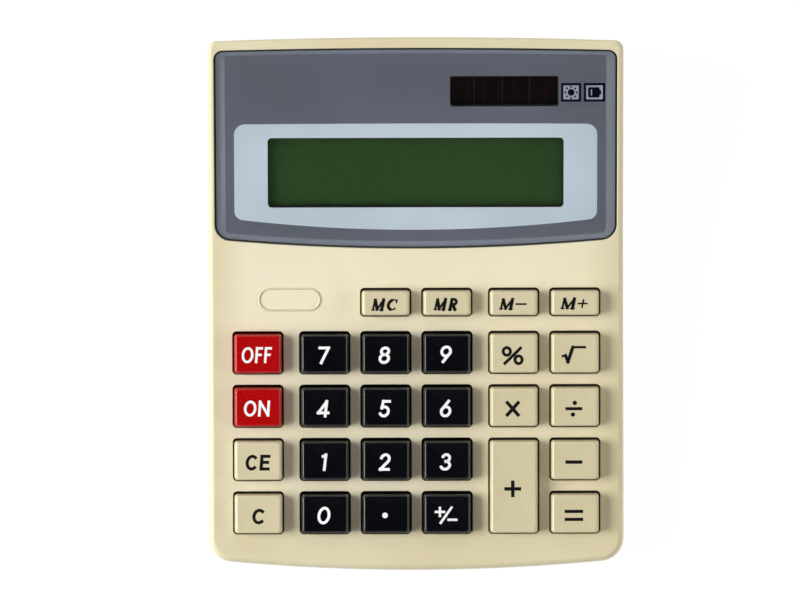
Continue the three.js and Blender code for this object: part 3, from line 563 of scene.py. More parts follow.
# Inks under the window are wetted by it and have no gloss of their own
GREY_INK = ScreenInk("ink_slate_grey", "676b74", 0.55, second="6c6f7c", gloss=0.0)
# Lighter grey under the bevel: painted reflection of the bevel's sheen
BEVEL_SHEEN_INK = ScreenInk("ink_painted_bevel_sheen", "7d838f", 0.55, second="828796", gloss=0.0)
PALE_INK = ScreenInk("ink_pale_blue_grey", "c9d7e2", 0.5, second="d2dee8", gloss=0.0)
DARK_INK = ScreenInk("ink_sign_navy", "0b0d20", 0.5, second="10122a", gloss=0.0)
SIGN_INK = ScreenInk("ink_sign_silver", "a3a7b6", 0.5, second="adb1be", gloss=0.0)
# Inks of the legends lie open: white with a soft gloss, black nearly matt
WHITE_LEGEND = ScreenInk("ink_legend_white", "f4f5f4", 0.45, second="e9ebea")
BLACK_LEGEND = ScreenInk("ink_legend_black", "050508", 0.45, second="0a0a0c", gloss=0.15)
# Dull black pieces in the gaps round the window and its openings: painted shade, so the gaps read as dark
# lines
SHADE_BLACK = MouldedRubber("black_painted_shade", "0c1210", 0.8, bloom="141a17")
# Deep green with a grainy shimmer
LCD_GLASS = DisplayGlass("lcd_glass_green", "314d27", 0.3, second="36532d")
# Brown-black with barely visible combed lines
SOLAR = LinedFilm(
    "amorphous_silicon_on_glass", "120203", 0.3, line="22100d", apart=0.6,
    line_from=0.9, line_to=1.0, line_share=0.5, line_rise=0.0, gloss=0.08,
)
# Dull paste between the cells, a little lighter than they are
SOLAR_LINE = ScreenInk("silver_paste_dull", "332325", 0.5, second="3b2a2c", gloss=0.1)
# Rubbers: dry and dark underneath, grey and milky inside
FOOT_RUBBER = MouldedRubber("rubber_foot_black", "262628", 0.85, bloom="343436")
MAT_RUBBER = MouldedRubber("silicone_mat_grey", "9b9ca1", 0.7, bloom="a6a7ab")
# Bright plating with soft highlights
STEEL = NickelSteel("steel_bright_nickel", "b9b9b6", 0.3, metallic=1.0)
# Brown board under green-brown tracks
BOARD = PaperPhenolic("phenolic_paper_board", "9a7540", 0.55, fibre="7b5a2a", resist="5d6b34")
# Amber and glossy, with copper lanes a millimetre apart
RIBBON = LinedFilm("polyimide_copper_lanes", "c98c3a", 0.3, line="a85a1e")
# Black and wet-looking
RESIN = CastEpoxy("epoxy_cast_black", "101010", 0.35)
# Waxy wire covers
RED_PVC = ExtrudedPvc("pvc_red_extruded", "b42020", 0.4)
BLACK_PVC = ExtrudedPvc("pvc_black_extruded", "1c1c1e", 0.4)
# Silver film with a dark blue band
JACKET = PrintedJacket(
    "film_metallised_jacket", "a9adb3", 0.35, metallic=0.7, band="2b3d5c", band_from=14.0,
)


# Planes and outlines


@dataclass(frozen=True)
class Plane:
    """A plane through (0, y, z) that rises towards +Y."""

    y: float
    z: float
    tilt: float

    def matrix(self) -> Matrix:
        """Matrix from the plane's own millimetres to the object's."""
        return Matrix.Translation((0, self.y, self.z)) @ Matrix.Rotation(self.tilt, 4, "X")

    def normal(self) -> Vector:
        """Unit vector that stands on the plane."""
        return Vector((0, -math.sin(self.tilt), math.cos(self.tilt)))

    def local_y(self, world_y: float) -> float:
        """Place along the plane of a point of its surface that lies at a place seen from above."""
        return (world_y - self.y) / math.cos(self.tilt)


FRONT_Y = -66.4
REAR_Y = 66.4
HALF_WIDTH = 51.85
FRONT_HEIGHT = 11.958
BEND_HEIGHT = 20.04
REAR_HEIGHT = 31.925
# Share of the case's depth that the keypad takes, and half the length of the smooth bend
KEYPAD_SHARE = 0.57902
BEND_REACH = 2.6
BEND_Y = FRONT_Y + (REAR_Y - FRONT_Y) * KEYPAD_SHARE
KEYPAD_TILT = math.atan((BEND_HEIGHT - FRONT_HEIGHT) / (BEND_Y - FRONT_Y))
DISPLAY_TILT = math.atan((REAR_HEIGHT - BEND_HEIGHT) / (REAR_Y - BEND_Y))
TABLE = Plane(0, 0, 0)
KEYPAD = Plane(0, FRONT_HEIGHT - FRONT_Y * math.tan(KEYPAD_TILT), KEYPAD_TILT)
DISPLAY = Plane(BEND_Y, BEND_HEIGHT, DISPLAY_TILT)
FOOT_HEIGHT = 1.0
FLOOR_TOP = 3.0


def surface_z(y: float) -> float:
    """Height of the case's top over the line at y.

    Args:
        y: Place along the case.

    Returns:
        The height, with a smooth bend between the two planes.
    """
    keypad = KEYPAD.z + y * math.tan(KEYPAD_TILT)
    rise = math.tan(DISPLAY_TILT) - math.tan(KEYPAD_TILT)
    past = y - BEND_Y + BEND_REACH
    if past <= 0:
        return keypad
    if y >= BEND_Y + BEND_REACH:
        return keypad + (y - BEND_Y) * rise
    return keypad + rise * past * past / (4 * BEND_REACH)


@dataclass(frozen=True)
class Bowed:
    """Outline with bowed front and rear edges and rounded corners."""

    half_width: float
    front: float
    rear: float
    bow_front: float
    bow_rear: float
    corner_front: float
    corner_rear: float

    def half(self, inset: float = 0.0, inset_y: float | None = None, levels: Iterable[float] = (),
             arcs: int = 14, corners: int = 8) -> list[Point]:
        """Right half of the outline, drawn in.

        Args:
            inset: How far the sides and corners are drawn in.
            inset_y: How far the two ends are drawn in, the same as inset if not given.
            levels: Places along the side that get a point.
            arcs: Steps along each bowed half.
            corners: Steps round each corner.

        Returns:
            Points from the front middle to the rear middle.
        """
        inset_y = inset if inset_y is None else inset_y
        half = self.half_width - inset
        ends = []
        for y, side, bow, corner in (
            (self.front + inset_y, 1, self.bow_front - inset_y, max(self.corner_front - inset, FIT)),
            (self.rear - inset_y, -1, self.bow_rear - inset_y, max(self.corner_rear - inset, FIT)),
        ):
            middle = y + side * bow
            turn = math.asin((half - corner) / (bow - corner))
            corner_y = middle - side * (bow - corner) * math.cos(turn)
            points = []
            for i in range(arcs):
                a = i / arcs * turn
                points.append((bow * math.sin(a), middle - side * bow * math.cos(a)))
            for i in range(corners + 1):
                a = turn + i / corners * (math.pi / 2 - turn)
                points.append((half - corner + corner * math.sin(a), corner_y - side * corner * math.cos(a)))
            ends.append(points)
        return ends[0] + [(half, y) for y in levels] + ends[1][::-1]

    def whole(self, inset: float = 0.0, inset_y: float | None = None) -> list[Point]:
        """The whole outline, drawn in."""
        return mirrored(self.half(inset, inset_y))


def mirrored(half: Profile) -> list[Point]:
    """Whole outline from its right half."""
    return list(half) + [(-x, y) for x, y in reversed(half) if x > 1e-6]


def rounded_rectangle(half_x: float, half_y: float, corner: float, steps: int = 8,
                      x: float = 0.0, y: float = 0.0) -> list[Point]:
    """Closed outline of a rounded rectangle.

    Args:
        half_x: Half its width.
        half_y: Half its depth.
        corner: Radius of its corners.
        steps: Steps round each corner.
        x: Middle across.
        y: Middle along.

    Returns:
        Points that go round once.
    """
    points = []
    for quarter, (sx, sy) in enumerate(((1, 1), (-1, 1), (-1, -1), (1, -1))):
        for i in range(steps + 1):
            a = (quarter + i / steps) * math.pi / 2
            px = sx * (half_x - corner) + corner * math.cos(a)
            points.append((x + px, y + sy * (half_y - corner) + corner * math.sin(a)))
    return points


def circle(radius: float, x: float = 0.0, y: float = 0.0, sides: int = 48) -> list[Point]:
    """Closed outline of a circle."""
    turn = 2 * math.pi / sides
    return [(x + radius * math.cos(i * turn), y + radius * math.sin(i * turn)) for i in range(sides)]


def at_height(outline: Profile, height: float | Callable[[float], float]) -> Ring:
    """Ring of points at a height, or at a height that depends on y."""
    return [Vector((x, y, height(y) if callable(height) else height)) for x, y in outline]


@dataclass(frozen=True)
class Opening:
    """Rounded opening in the display's tray or print."""

    half_x: float
    half_y: float
    corner: float
    x: float
    y: float

    def outline(self, spread: float = 0.0) -> list[Point]:
        """Its outline, spread by a distance."""
        sizes = self.half_x + spread, self.half_y + spread, self.corner + spread
        return rounded_rectangle(*sizes, 6, self.x, self.y)


CASE = Bowed(HALF_WIDTH, FRONT_Y, REAR_Y, bow_front=500, bow_rear=1450, corner_front=6, corner_rear=2.6)
WINDOW_SIDE = 2.4
WINDOW_FRONT = 3.85
WINDOW_REAR = DISPLAY.local_y(REAR_Y) - 3.65
WINDOW = Bowed(
    HALF_WIDTH - WINDOW_SIDE, WINDOW_FRONT, WINDOW_REAR,
    bow_front=520, bow_rear=2000, corner_front=3.5, corner_rear=1.8,
)
# Openings of the tray over the liquid crystal panel and over the solar strip
TRAY_VIEW = Opening(37.0, 9.0, 1.0, 0.0, 22.6)
TRAY_STRIP = Opening(13.8, 4.0, 1.0, 22.0, 43.1)
BEND_STEPS = 10
BEND_LEVELS = [BEND_Y - BEND_REACH + 2 * BEND_REACH * i / BEND_STEPS for i in range(BEND_STEPS + 1)]


def fillet(radius: float, steps: int = 5) -> list[Point]:
    """How far a rounded upper edge is drawn in and down, from its side to its top.

    Args:
        radius: Radius of the edge.
        steps: Steps round it.

    Returns:
        Pairs of the inset and the depth below the top.
    """
    angles = [i / steps * math.pi / 2 for i in range(steps + 1)]
    return [(radius * (1 - math.cos(a)), radius * (1 - math.sin(a))) for a in angles]


def pairs(places: dict[str, Point]) -> list[tuple[str, float, float]]:
    """Name, x and y of the left and the right place of each row."""
    sides = (("left", -1), ("right", 1))
    return [(f"{row}_{side}", sign * x, y) for row, (x, y) in places.items() for side, sign in sides]


# Solids


def bridge(mesh: bmesh.types.BMesh, rings: Sequence[Ring], closed: bool = False) -> list[Corners]:
    """Joins rings of equal length by strips of faces.

    Args:
        mesh: Mesh that gets the faces.
        rings: The rings in order.
        closed: Joins the last ring to the first one too.

    Returns:
        The corners of each ring.
    """
    rows = [[mesh.verts.new(p) for p in ring] for ring in rings]
    count = len(rows[0])
    for low, high in zip(rows, rows[1:] + rows[:1] if closed else rows[1:]):
        for i in range(count):
            j = (i + 1) % count
            mesh.faces.new((low[i], low[j], high[j], high[i]))
    return rows


class Solid:
    """Closed mesh in millimetres that is joined and cut before it is placed."""

    def __init__(self, mesh: bmesh.types.BMesh) -> None:
        """Takes over a mesh.

        Args:
            mesh: Closed mesh, which is freed.
        """
        bmesh.ops.recalc_face_normals(mesh, faces=mesh.faces)
        data = bpy.data.meshes.new("work")
        mesh.to_mesh(data)
        mesh.free()
        self.item = bpy.data.objects.new("work", data)
        bpy.context.scene.collection.objects.link(self.item)

    @classmethod
    def loft(cls, rings: Sequence[Ring], across: bool = False) -> Solid:
        """Solid through rings of equal length, closed at both ends.

        Args:
            rings: Rings from one end to the other.
            across: Closes the last end by strips across the mirror line instead of one face.

        Returns:
            The solid.
        """
        mesh = bmesh.new()
        rows = bridge(mesh, rings)
        mesh.faces.new(rows[0][::-1])
        last = rows[-1]
        count = len(last)
        if across:
            for i in range(count // 2):
                corners = [last[i], last[i + 1], last[(count - i - 1) % count], last[(count - i) % count]]
                mesh.faces.new(list(dict.fromkeys(corners)))
        else:
            mesh.faces.new(last)
        return cls(mesh)

    @classmethod
    def slab(cls, outline: Profile, low: float, high: float) -> Solid:
        """Upright solid of an outline between two heights."""
        return cls.loft([at_height(outline, low), at_height(outline, high)])

    @classmethod
    def box(cls, width: float, depth: float, low: float, high: float,
            x: float = 0.0, y: float = 0.0) -> Solid:
        """Upright box between two heights."""
        signs = ((1, 1), (-1, 1), (-1, -1), (1, -1))
        return cls.slab([(x + sx * width / 2, y + sy * depth / 2) for sx, sy in signs], low, high)

    @classmethod
    def turned(cls, profile: Profile, sides: int = 48, axis: str = "Z") -> Solid:
        """Solid of revolution.

        Args:
            profile: Radius and place along the axis, from end to end; the ends may lie on the axis.
            sides: Facets round the axis.
            axis: "Z", or "X" for a solid that lies along X.

        Returns:
            The solid.
        """
        rings = []
        for radius, along in profile:
            ring = at_height(circle(max(radius, 1e-3), sides=sides), along)
            rings.append([Vector((p.z, p.x, p.y)) for p in ring] if axis == "X" else ring)
        return cls.loft(rings)

    @classmethod
    def tube(cls, path: Sequence[Vector], radius: float, sides: int = 16) -> Solid:
        """Round bar along a path.

        Args:
            path: Points of its middle line.
            radius: Radius of the bar.
            sides: Facets round it.

        Returns:
            The solid.
        """
        rings = []
        side = None
        for i, point in enumerate(path):
            ahead = (path[min(i + 1, len(path) - 1)] - path[max(i - 1, 0)]).normalized()
            if side is None:
                side = ahead.orthogonal().normalized()
            side = (side - ahead * side.dot(ahead)).normalized()
            other = ahead.cross(side)
            rings.append([point + x * side + y * other for x, y in circle(radius, sides=sides)])
        return cls.loft(rings)

    @classmethod
    def group(cls, parts: Iterable[Solid]) -> Solid:
        """One item of several solids that don't touch.

        Args:
            parts: The solids, which are used up.

        Returns:
            The item.
        """
        mesh = bmesh.new()
        for part in parts:
            mesh.from_mesh(part.item.data)
            part.drop()
        return cls(mesh)

    def drop(self) -> None:
        """Removes the working mesh."""
        data = self.item.data
        bpy.data.objects.remove(self.item)
        bpy.data.meshes.remove(data)

    def moved(self, matrix: Matrix) -> Solid:
        """The same solid, moved."""
        self.item.data.transform(matrix)
        return self

    def moved_to(self, x: float, y: float, z: float = 0.0) -> Solid:
        """The same solid, moved by a distance."""
        return self.moved(Matrix.Translation((x, y, z)))

    def combine(self, other: Solid, operation: str) -> Solid:
        """Joins or cuts with another solid, which is used up.

        Args:
            other: The other solid.
            operation: UNION, DIFFERENCE or INTERSECT.

        Returns:
            This solid with its new mesh.
        """
        cut = self.item.modifiers.new("cut", "BOOLEAN")
        cut.operation = operation
        cut.solver = "MANIFOLD"
        cut.object = other.item
        graph = bpy.context.evaluated_depsgraph_get()
        made = bpy.data.meshes.new_from_object(self.item.evaluated_get(graph))
        old = self.item.data
        self.item.modifiers.clear()
        self.item.data = made
        bpy.data.meshes.remove(old)
        other.drop()
        return self

    def cut(self, *others: Solid) -> Solid:
        """This solid without the others."""
        for other in others:
            self.combine(other, "DIFFERENCE")
        return self

    def join(self, *others: Solid) -> Solid:
        """This solid with the others."""
        for other in others:
            self.combine(other, "UNION")
        return self

    def copy(self) -> Solid:
        """A second solid of the same shape."""
        mesh = bmesh.new()
        mesh.from_mesh(self.item.data)
        return Solid(mesh)

    def place(self, name: str, finish: Finish, body: str, slot: str, plane: Plane = TABLE,
              nodes: Iterable[str] = (), sharp: float = 32.0) -> bpy.types.Object:
        """Turns the solid into a finished piece of the object.

        Args:
            name: Name of the piece.
            finish: Its finish.
            body: Body that it rides on.
            slot: Name of a material slot; not used.
            plane: Plane that the solid was drawn on.
            nodes: Nodes that it stands for.
            sharp: Angle in degrees above which an edge stays sharp.

        Returns:
            The placed object.
        """
        item = self.item
        item.name = name
        item.data.name = name
        item.data.transform(Matrix.Scale(MM, 4) @ plane.matrix())
        item.data.polygons.foreach_set("use_smooth", [True] * len(item.data.polygons))
        item.data.set_sharp_from_angle(angle=math.radians(sharp))
        weighted = item.modifiers.new("weighted", "WEIGHTED_NORMAL")
        weighted.keep_sharp = True
        item.data.materials.clear()
        item.data.materials.append(finish.material())
        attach(item, body)
        nodes = list(nodes)
        if nodes:
            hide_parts(*nodes)
        log.info("%s on %s, %d faces", name, body, len(item.data.polygons))
        return item


# Keypad layout


class Tone(Enum):
    """Colour of a key with its legend."""

    IVORY = ("ivory_key", IVORY_KEY, BLACK_LEGEND)
    BLACK = ("black_key", BLACK_KEY, WHITE_LEGEND)
    RED = ("red_key", RED_KEY, WHITE_LEGEND)


class Face(Enum):
    """Style of a legend's letters."""

    PLAIN = 0
    ROMAN = 1


KEY_WIDTH = 12.2
ROW_GAP = 3.27
# Gap below the memory keys, their depth as a share of a full key's, and the margins of the keypad
MEMORY_GAP = 4.3
MEMORY_SHARE = 0.6436
FRONT_MARGIN = 9.05
REAR_MARGIN = 6.83
KEY_DEPTH = (BEND_Y - FRONT_Y - FRONT_MARGIN - REAR_MARGIN - 3 * ROW_GAP - MEMORY_GAP) / (4 + MEMORY_SHARE)
MEMORY_DEPTH = KEY_DEPTH * MEMORY_SHARE
ROW_PITCH = KEY_DEPTH + ROW_GAP
COLUMN_X = (-39.3, -22.7, -7.5, 7.7, 24.3, 39.5)
ROW_Y = [FRONT_Y + FRONT_MARGIN + KEY_DEPTH / 2 + row * ROW_PITCH for row in range(4)]
ROW_Y.append(ROW_Y[3] + (KEY_DEPTH + MEMORY_DEPTH) / 2 + MEMORY_GAP)
MEMORY_ROW = 4


def between(column: int, row: int) -> Point:
    """Middle of the gaps right of a column and above a row."""
    return (COLUMN_X[column] + COLUMN_X[column + 1]) / 2, (ROW_Y[row] + ROW_Y[row + 1]) / 2


LAST_SCREW = between(3, 3)
BOARD_SCREWS = (
    between(0, 0), between(0, 2), between(3, 1),
    (LAST_SCREW[0], LAST_SCREW[1] + (KEY_DEPTH - MEMORY_DEPTH) / 4),
)


@dataclass(frozen=True)
class Key:
    """One key: its node, place in the grid, tone and legend.

    The legend has a size, a slant in degrees and a pen, and lies a little left of and below the middle.
    """

    node: str
    column: int
    row: int
    tone: Tone
    legend: str
    size: Point
    slant: float = 6.5
    rows: int = 1
    pen: float = 0.7
    drop: float = 0.19
    left: float = 0.3
    face: Face = Face.PLAIN

    @property
    def name(self) -> str:
        """Short name of the key."""
        return self.node.removeprefix("key_")

    @property
    def body(self) -> str:
        """Body that the key rides on."""
        return "root_sign_button" if self.name == "root" else f"{self.name}_button"

    @property
    def x(self) -> float:
        """Middle of the key across the keypad."""
        return COLUMN_X[self.column]

    @property
    def y(self) -> float:
        """Middle of the key along the keypad."""
        return ROW_Y[self.row] + (self.rows - 1) * ROW_PITCH / 2

    @property
    def depth(self) -> float:
        """Depth of the key from front to rear."""
        return MEMORY_DEPTH if self.row == MEMORY_ROW else KEY_DEPTH + (self.rows - 1) * ROW_PITCH


KEYS = (
    Key("key_off", 0, 3, Tone.RED, "OFF", (7.4, 4.0), 4, pen=0.6, drop=0.1),
    Key("key_on", 0, 2, Tone.RED, "ON", (6.4, 4.0), 4, pen=0.63, drop=0.1),
    Key("key_ce", 0, 1, Tone.IVORY, "CE", (6.1, 3.95), 4.5, pen=0.78, drop=0.27, left=0.1),
    Key("key_c", 0, 0, Tone.IVORY, "C", (3.1, 3.9), 4.5, pen=0.78, drop=0.42, left=-0.02),
    Key("key_0", 1, 0, Tone.BLACK, "0", (3.2, 4.4)),
    Key("key_point", 2, 0, Tone.BLACK, ".", (1.4, 1.4)),
    Key("key_sign", 3, 0, Tone.BLACK, "s", (5.7, 4.4), 0, pen=0.6),
    Key("key_1", 1, 1, Tone.BLACK, "1", (1.35, 4.35)),
    Key("key_2", 2, 1, Tone.BLACK, "2", (2.8, 4.35)),
    Key("key_3", 3, 1, Tone.BLACK, "3", (2.7, 4.35)),
    Key("key_4", 1, 2, Tone.BLACK, "4", (3.15, 4.35)),
    Key("key_5", 2, 2, Tone.BLACK, "5", (2.65, 4.35)),
    Key("key_6", 3, 2, Tone.BLACK, "6", (2.85, 4.4)),
    Key("key_7", 1, 3, Tone.BLACK, "7", (2.85, 4.4)),
    Key("key_8", 2, 3, Tone.BLACK, "8", (2.85, 4.35)),
    Key("key_9", 3, 3, Tone.BLACK, "9", (2.85, 4.4), drop=0.0),
    Key("key_plus", 4, 0, Tone.IVORY, "+", (4.2, 4.2), 0, rows=2, pen=0.85, drop=0.3),
    Key("key_multiply", 4, 2, Tone.IVORY, "x", (3.5, 3.85), 0, pen=0.84, drop=0.3),
    Key("key_percent", 4, 3, Tone.IVORY, "%", (5.45, 4.75), 0, pen=0.74, drop=0.36),
    Key("key_equals", 5, 0, Tone.IVORY, "=", (4.6, 2.8), 0, pen=0.8, drop=0.3),
    Key("key_minus", 5, 1, Tone.IVORY, "-", (4.2, 0.85), 0, pen=0.85, drop=0.3),
    Key("key_divide", 5, 2, Tone.IVORY, "/", (4.2, 4.0), 9, pen=0.76, drop=0.3),
    Key("key_root", 5, 3, Tone.IVORY, "r", (6.1, 4.4), 0, pen=0.66, drop=0.16),
    Key("key_mc", 2, 4, Tone.IVORY, "MC", (6.45, 3.15), 12, pen=0.6, drop=0.2, left=0.28, face=Face.ROMAN),
    Key("key_mr", 3, 4, Tone.IVORY, "MR", (6.1, 3.15), 12, pen=0.6, drop=0.15, left=0.2, face=Face.ROMAN),
    Key("key_m_minus", 4, 4, Tone.IVORY, "M-", (6.8, 3.0), 12, pen=0.6, drop=0.1, left=0.15, face=Face.ROMAN),
    Key("key_m_plus", 5, 4, Tone.IVORY, "M+", (6.8, 3.0), 12, pen=0.6, drop=0.0, left=0.15, face=Face.ROMAN),
)


# Legends

Line = list[Point]
Stroke = tuple[float, Line]


def arc(x: float, y: float, rx: float, ry: float, start: float, end: float, steps: int = 14) -> Line:
    """Points of an arc of an ellipse between two angles in degrees."""
    turns = [math.radians(start + (end - start) * i / steps) for i in range(steps + 1)]
    return [(x + rx * math.cos(t), y + ry * math.sin(t)) for t in turns]


def oval(x: float, y: float, rx: float, ry: float, steps: int = 24) -> Line:
    """Points once round an ellipse."""
    return arc(x, y, rx, ry, 0, 360, steps)


def even(*lines: Line) -> list[Stroke]:
    """Strokes of the full pen width."""
    return [(1.0, line) for line in lines]


BOWL = oval(0.5, 0.5, 0.5, 0.5, 28)
# Strokes that several signs share
LEFT_STEM = [(0.0, 0.0), (0.0, 1.0)]
MIDDLE_BAR = [(0.0, 0.5), (1.0, 0.5)]
MIDDLE_STEM = [(0.5, 0.0), (0.5, 1.0)]
TOP_BAR = [(0.0, 1.0), (1.0, 1.0)]
FOOT_BAR = [(0.0, 0.0), (1.0, 0.0)]
FALLING = [(0.0, 1.0), (1.0, 0.0)]
# Middle lines of the strokes of each sign, in a box from 0 to 1 that the pen's half width surrounds
PLAIN: dict[str, list[Stroke]] = {
    "0": even(BOWL),
    "1": even([(1.0, 0.0), (1.0, 1.0)], [(0.0, 0.9), (1.0, 0.93)]),
    "2": even(arc(0.5, 0.71, 0.47, 0.29, 165, -32) + [(0.04, 0.0)], [(0.04, 0.0), (1.0, 0.0)]),
    "3": even(arc(0.46, 0.76, 0.44, 0.24, 155, -88), arc(0.46, 0.27, 0.54, 0.27, 88, -152)),
    "4": even([(0.74, 1.0), (0.02, 0.22)], [(0.0, 0.22), (1.0, 0.22)], [(0.74, 1.0), (0.74, 0.0)]),
    "5": even([(1.0, 1.0), (0.22, 1.0)], [(0.22, 1.0), (0.12, 0.54)], arc(0.46, 0.31, 0.54, 0.31, 128, -148)),
    "6": even(oval(0.5, 0.31, 0.5, 0.31), [(0.03, 0.42), (0.72, 1.0)]),
    "7": even(TOP_BAR, [(1.0, 1.0), (0.34, 0.0)]),
    "8": even(oval(0.5, 0.77, 0.42, 0.23), oval(0.5, 0.27, 0.5, 0.27)),
    "9": even(oval(0.5, 0.69, 0.5, 0.31), [(0.97, 0.58), (0.28, 0.0)]),
    "O": even(BOWL),
    "F": even(LEFT_STEM, TOP_BAR, [(0.0, 0.52), (0.84, 0.52)]),
    "N": even(LEFT_STEM, FALLING, [(1.0, 0.0), (1.0, 1.0)]),
    "C": even(arc(0.55, 0.5, 0.55, 0.5, 52, 308, 20)),
    "E": even(TOP_BAR[::-1], LEFT_STEM[::-1], FOOT_BAR, [(0.0, 0.52), (0.86, 0.52)]),
    "+": even(MIDDLE_BAR, MIDDLE_STEM),
    "-": even(MIDDLE_BAR),
    "=": even(FOOT_BAR, TOP_BAR),
    "x": even([(0.0, 0.0), (1.0, 1.0)], FALLING),
    "r": [
        (0.9, [(0.0, 0.4), (0.12, 0.44)]), (1.2, [(0.12, 0.44), (0.23, 0.02)]),
        (1.2, [(0.23, 0.02), (0.45, 1.0)]), (0.9, [(0.45, 1.0), (1.0, 1.0)]),
    ],
    "%": even(
        oval(0.19, 0.76, 0.19, 0.24, 20), oval(0.81, 0.24, 0.19, 0.24, 20),
        [(0.09, 0.02), (0.91, 0.96)],
    ),
    "s": even(
        [(0.0, 0.72), (0.4, 0.72)], [(0.2, 0.46), (0.2, 0.98)], [(0.24, 0.0), (0.76, 1.0)],
        [(0.62, 0.2), (1.0, 0.2)],
    ),
    "/": even(MIDDLE_BAR),
    ".": [],
}
# Letters with thick and thin strokes and feet
ROMAN: dict[str, list[Stroke]] = {
    "M": [
        (0.8, [(0.1, 0.0), (0.1, 1.0)]), (1.25, [(0.14, 0.96), (0.46, 0.06)]),
        (0.8, [(0.46, 0.06), (0.84, 0.96)]), (1.25, [(0.86, 0.0), (0.86, 1.0)]),
        (0.5, [(0.0, 0.0), (0.24, 0.0)]), (0.5, [(0.72, 0.0), (1.0, 0.0)]),
    ],
    "C": [
        (0.6, arc(0.55, 0.5, 0.52, 0.5, 40, 315, 22)), (1.3, arc(0.6, 0.5, 0.5, 0.46, 118, 242, 10)),
        (0.5, [(0.95, 0.68), (0.97, 1.0)]),
    ],
    "R": [
        (1.3, [(0.22, 0.0), (0.22, 1.0)]), (0.5, [(0.1, 1.0), (0.5, 1.0)]),
        (0.5, [(0.22, 0.46), (0.5, 0.46)]), (1.2, arc(0.5, 0.73, 0.32, 0.25, 78, -78, 8)),
        (1.3, [(0.46, 0.46), (0.84, 0.0)]), (0.45, [(0.02, 0.0), (0.42, 0.0)]),
        (0.45, [(0.76, 0.0), (1.0, 0.0)]),
    ],
    "+": [(0.7, MIDDLE_BAR), (0.7, MIDDLE_STEM)],
    "-": [(0.75, MIDDLE_BAR)],
}
LETTER_SHARE = {"O": 1.5, "F": 0.9, "N": 1.35, "C": 1.05, "E": 0.9, "M": 1.28, "R": 1.0, "-": 1.0, "+": 0.88}
# Gap between letters as a share of the pen
LETTER_GAP = {Face.PLAIN: 0.8, Face.ROMAN: 0.35}
# A sign beside a letter is lower than the letter
SIGN_LIFT = 0.1
SIGN_HEIGHT = 0.8
DOT_SHARE = 0.72
DOT_SIDES = 24


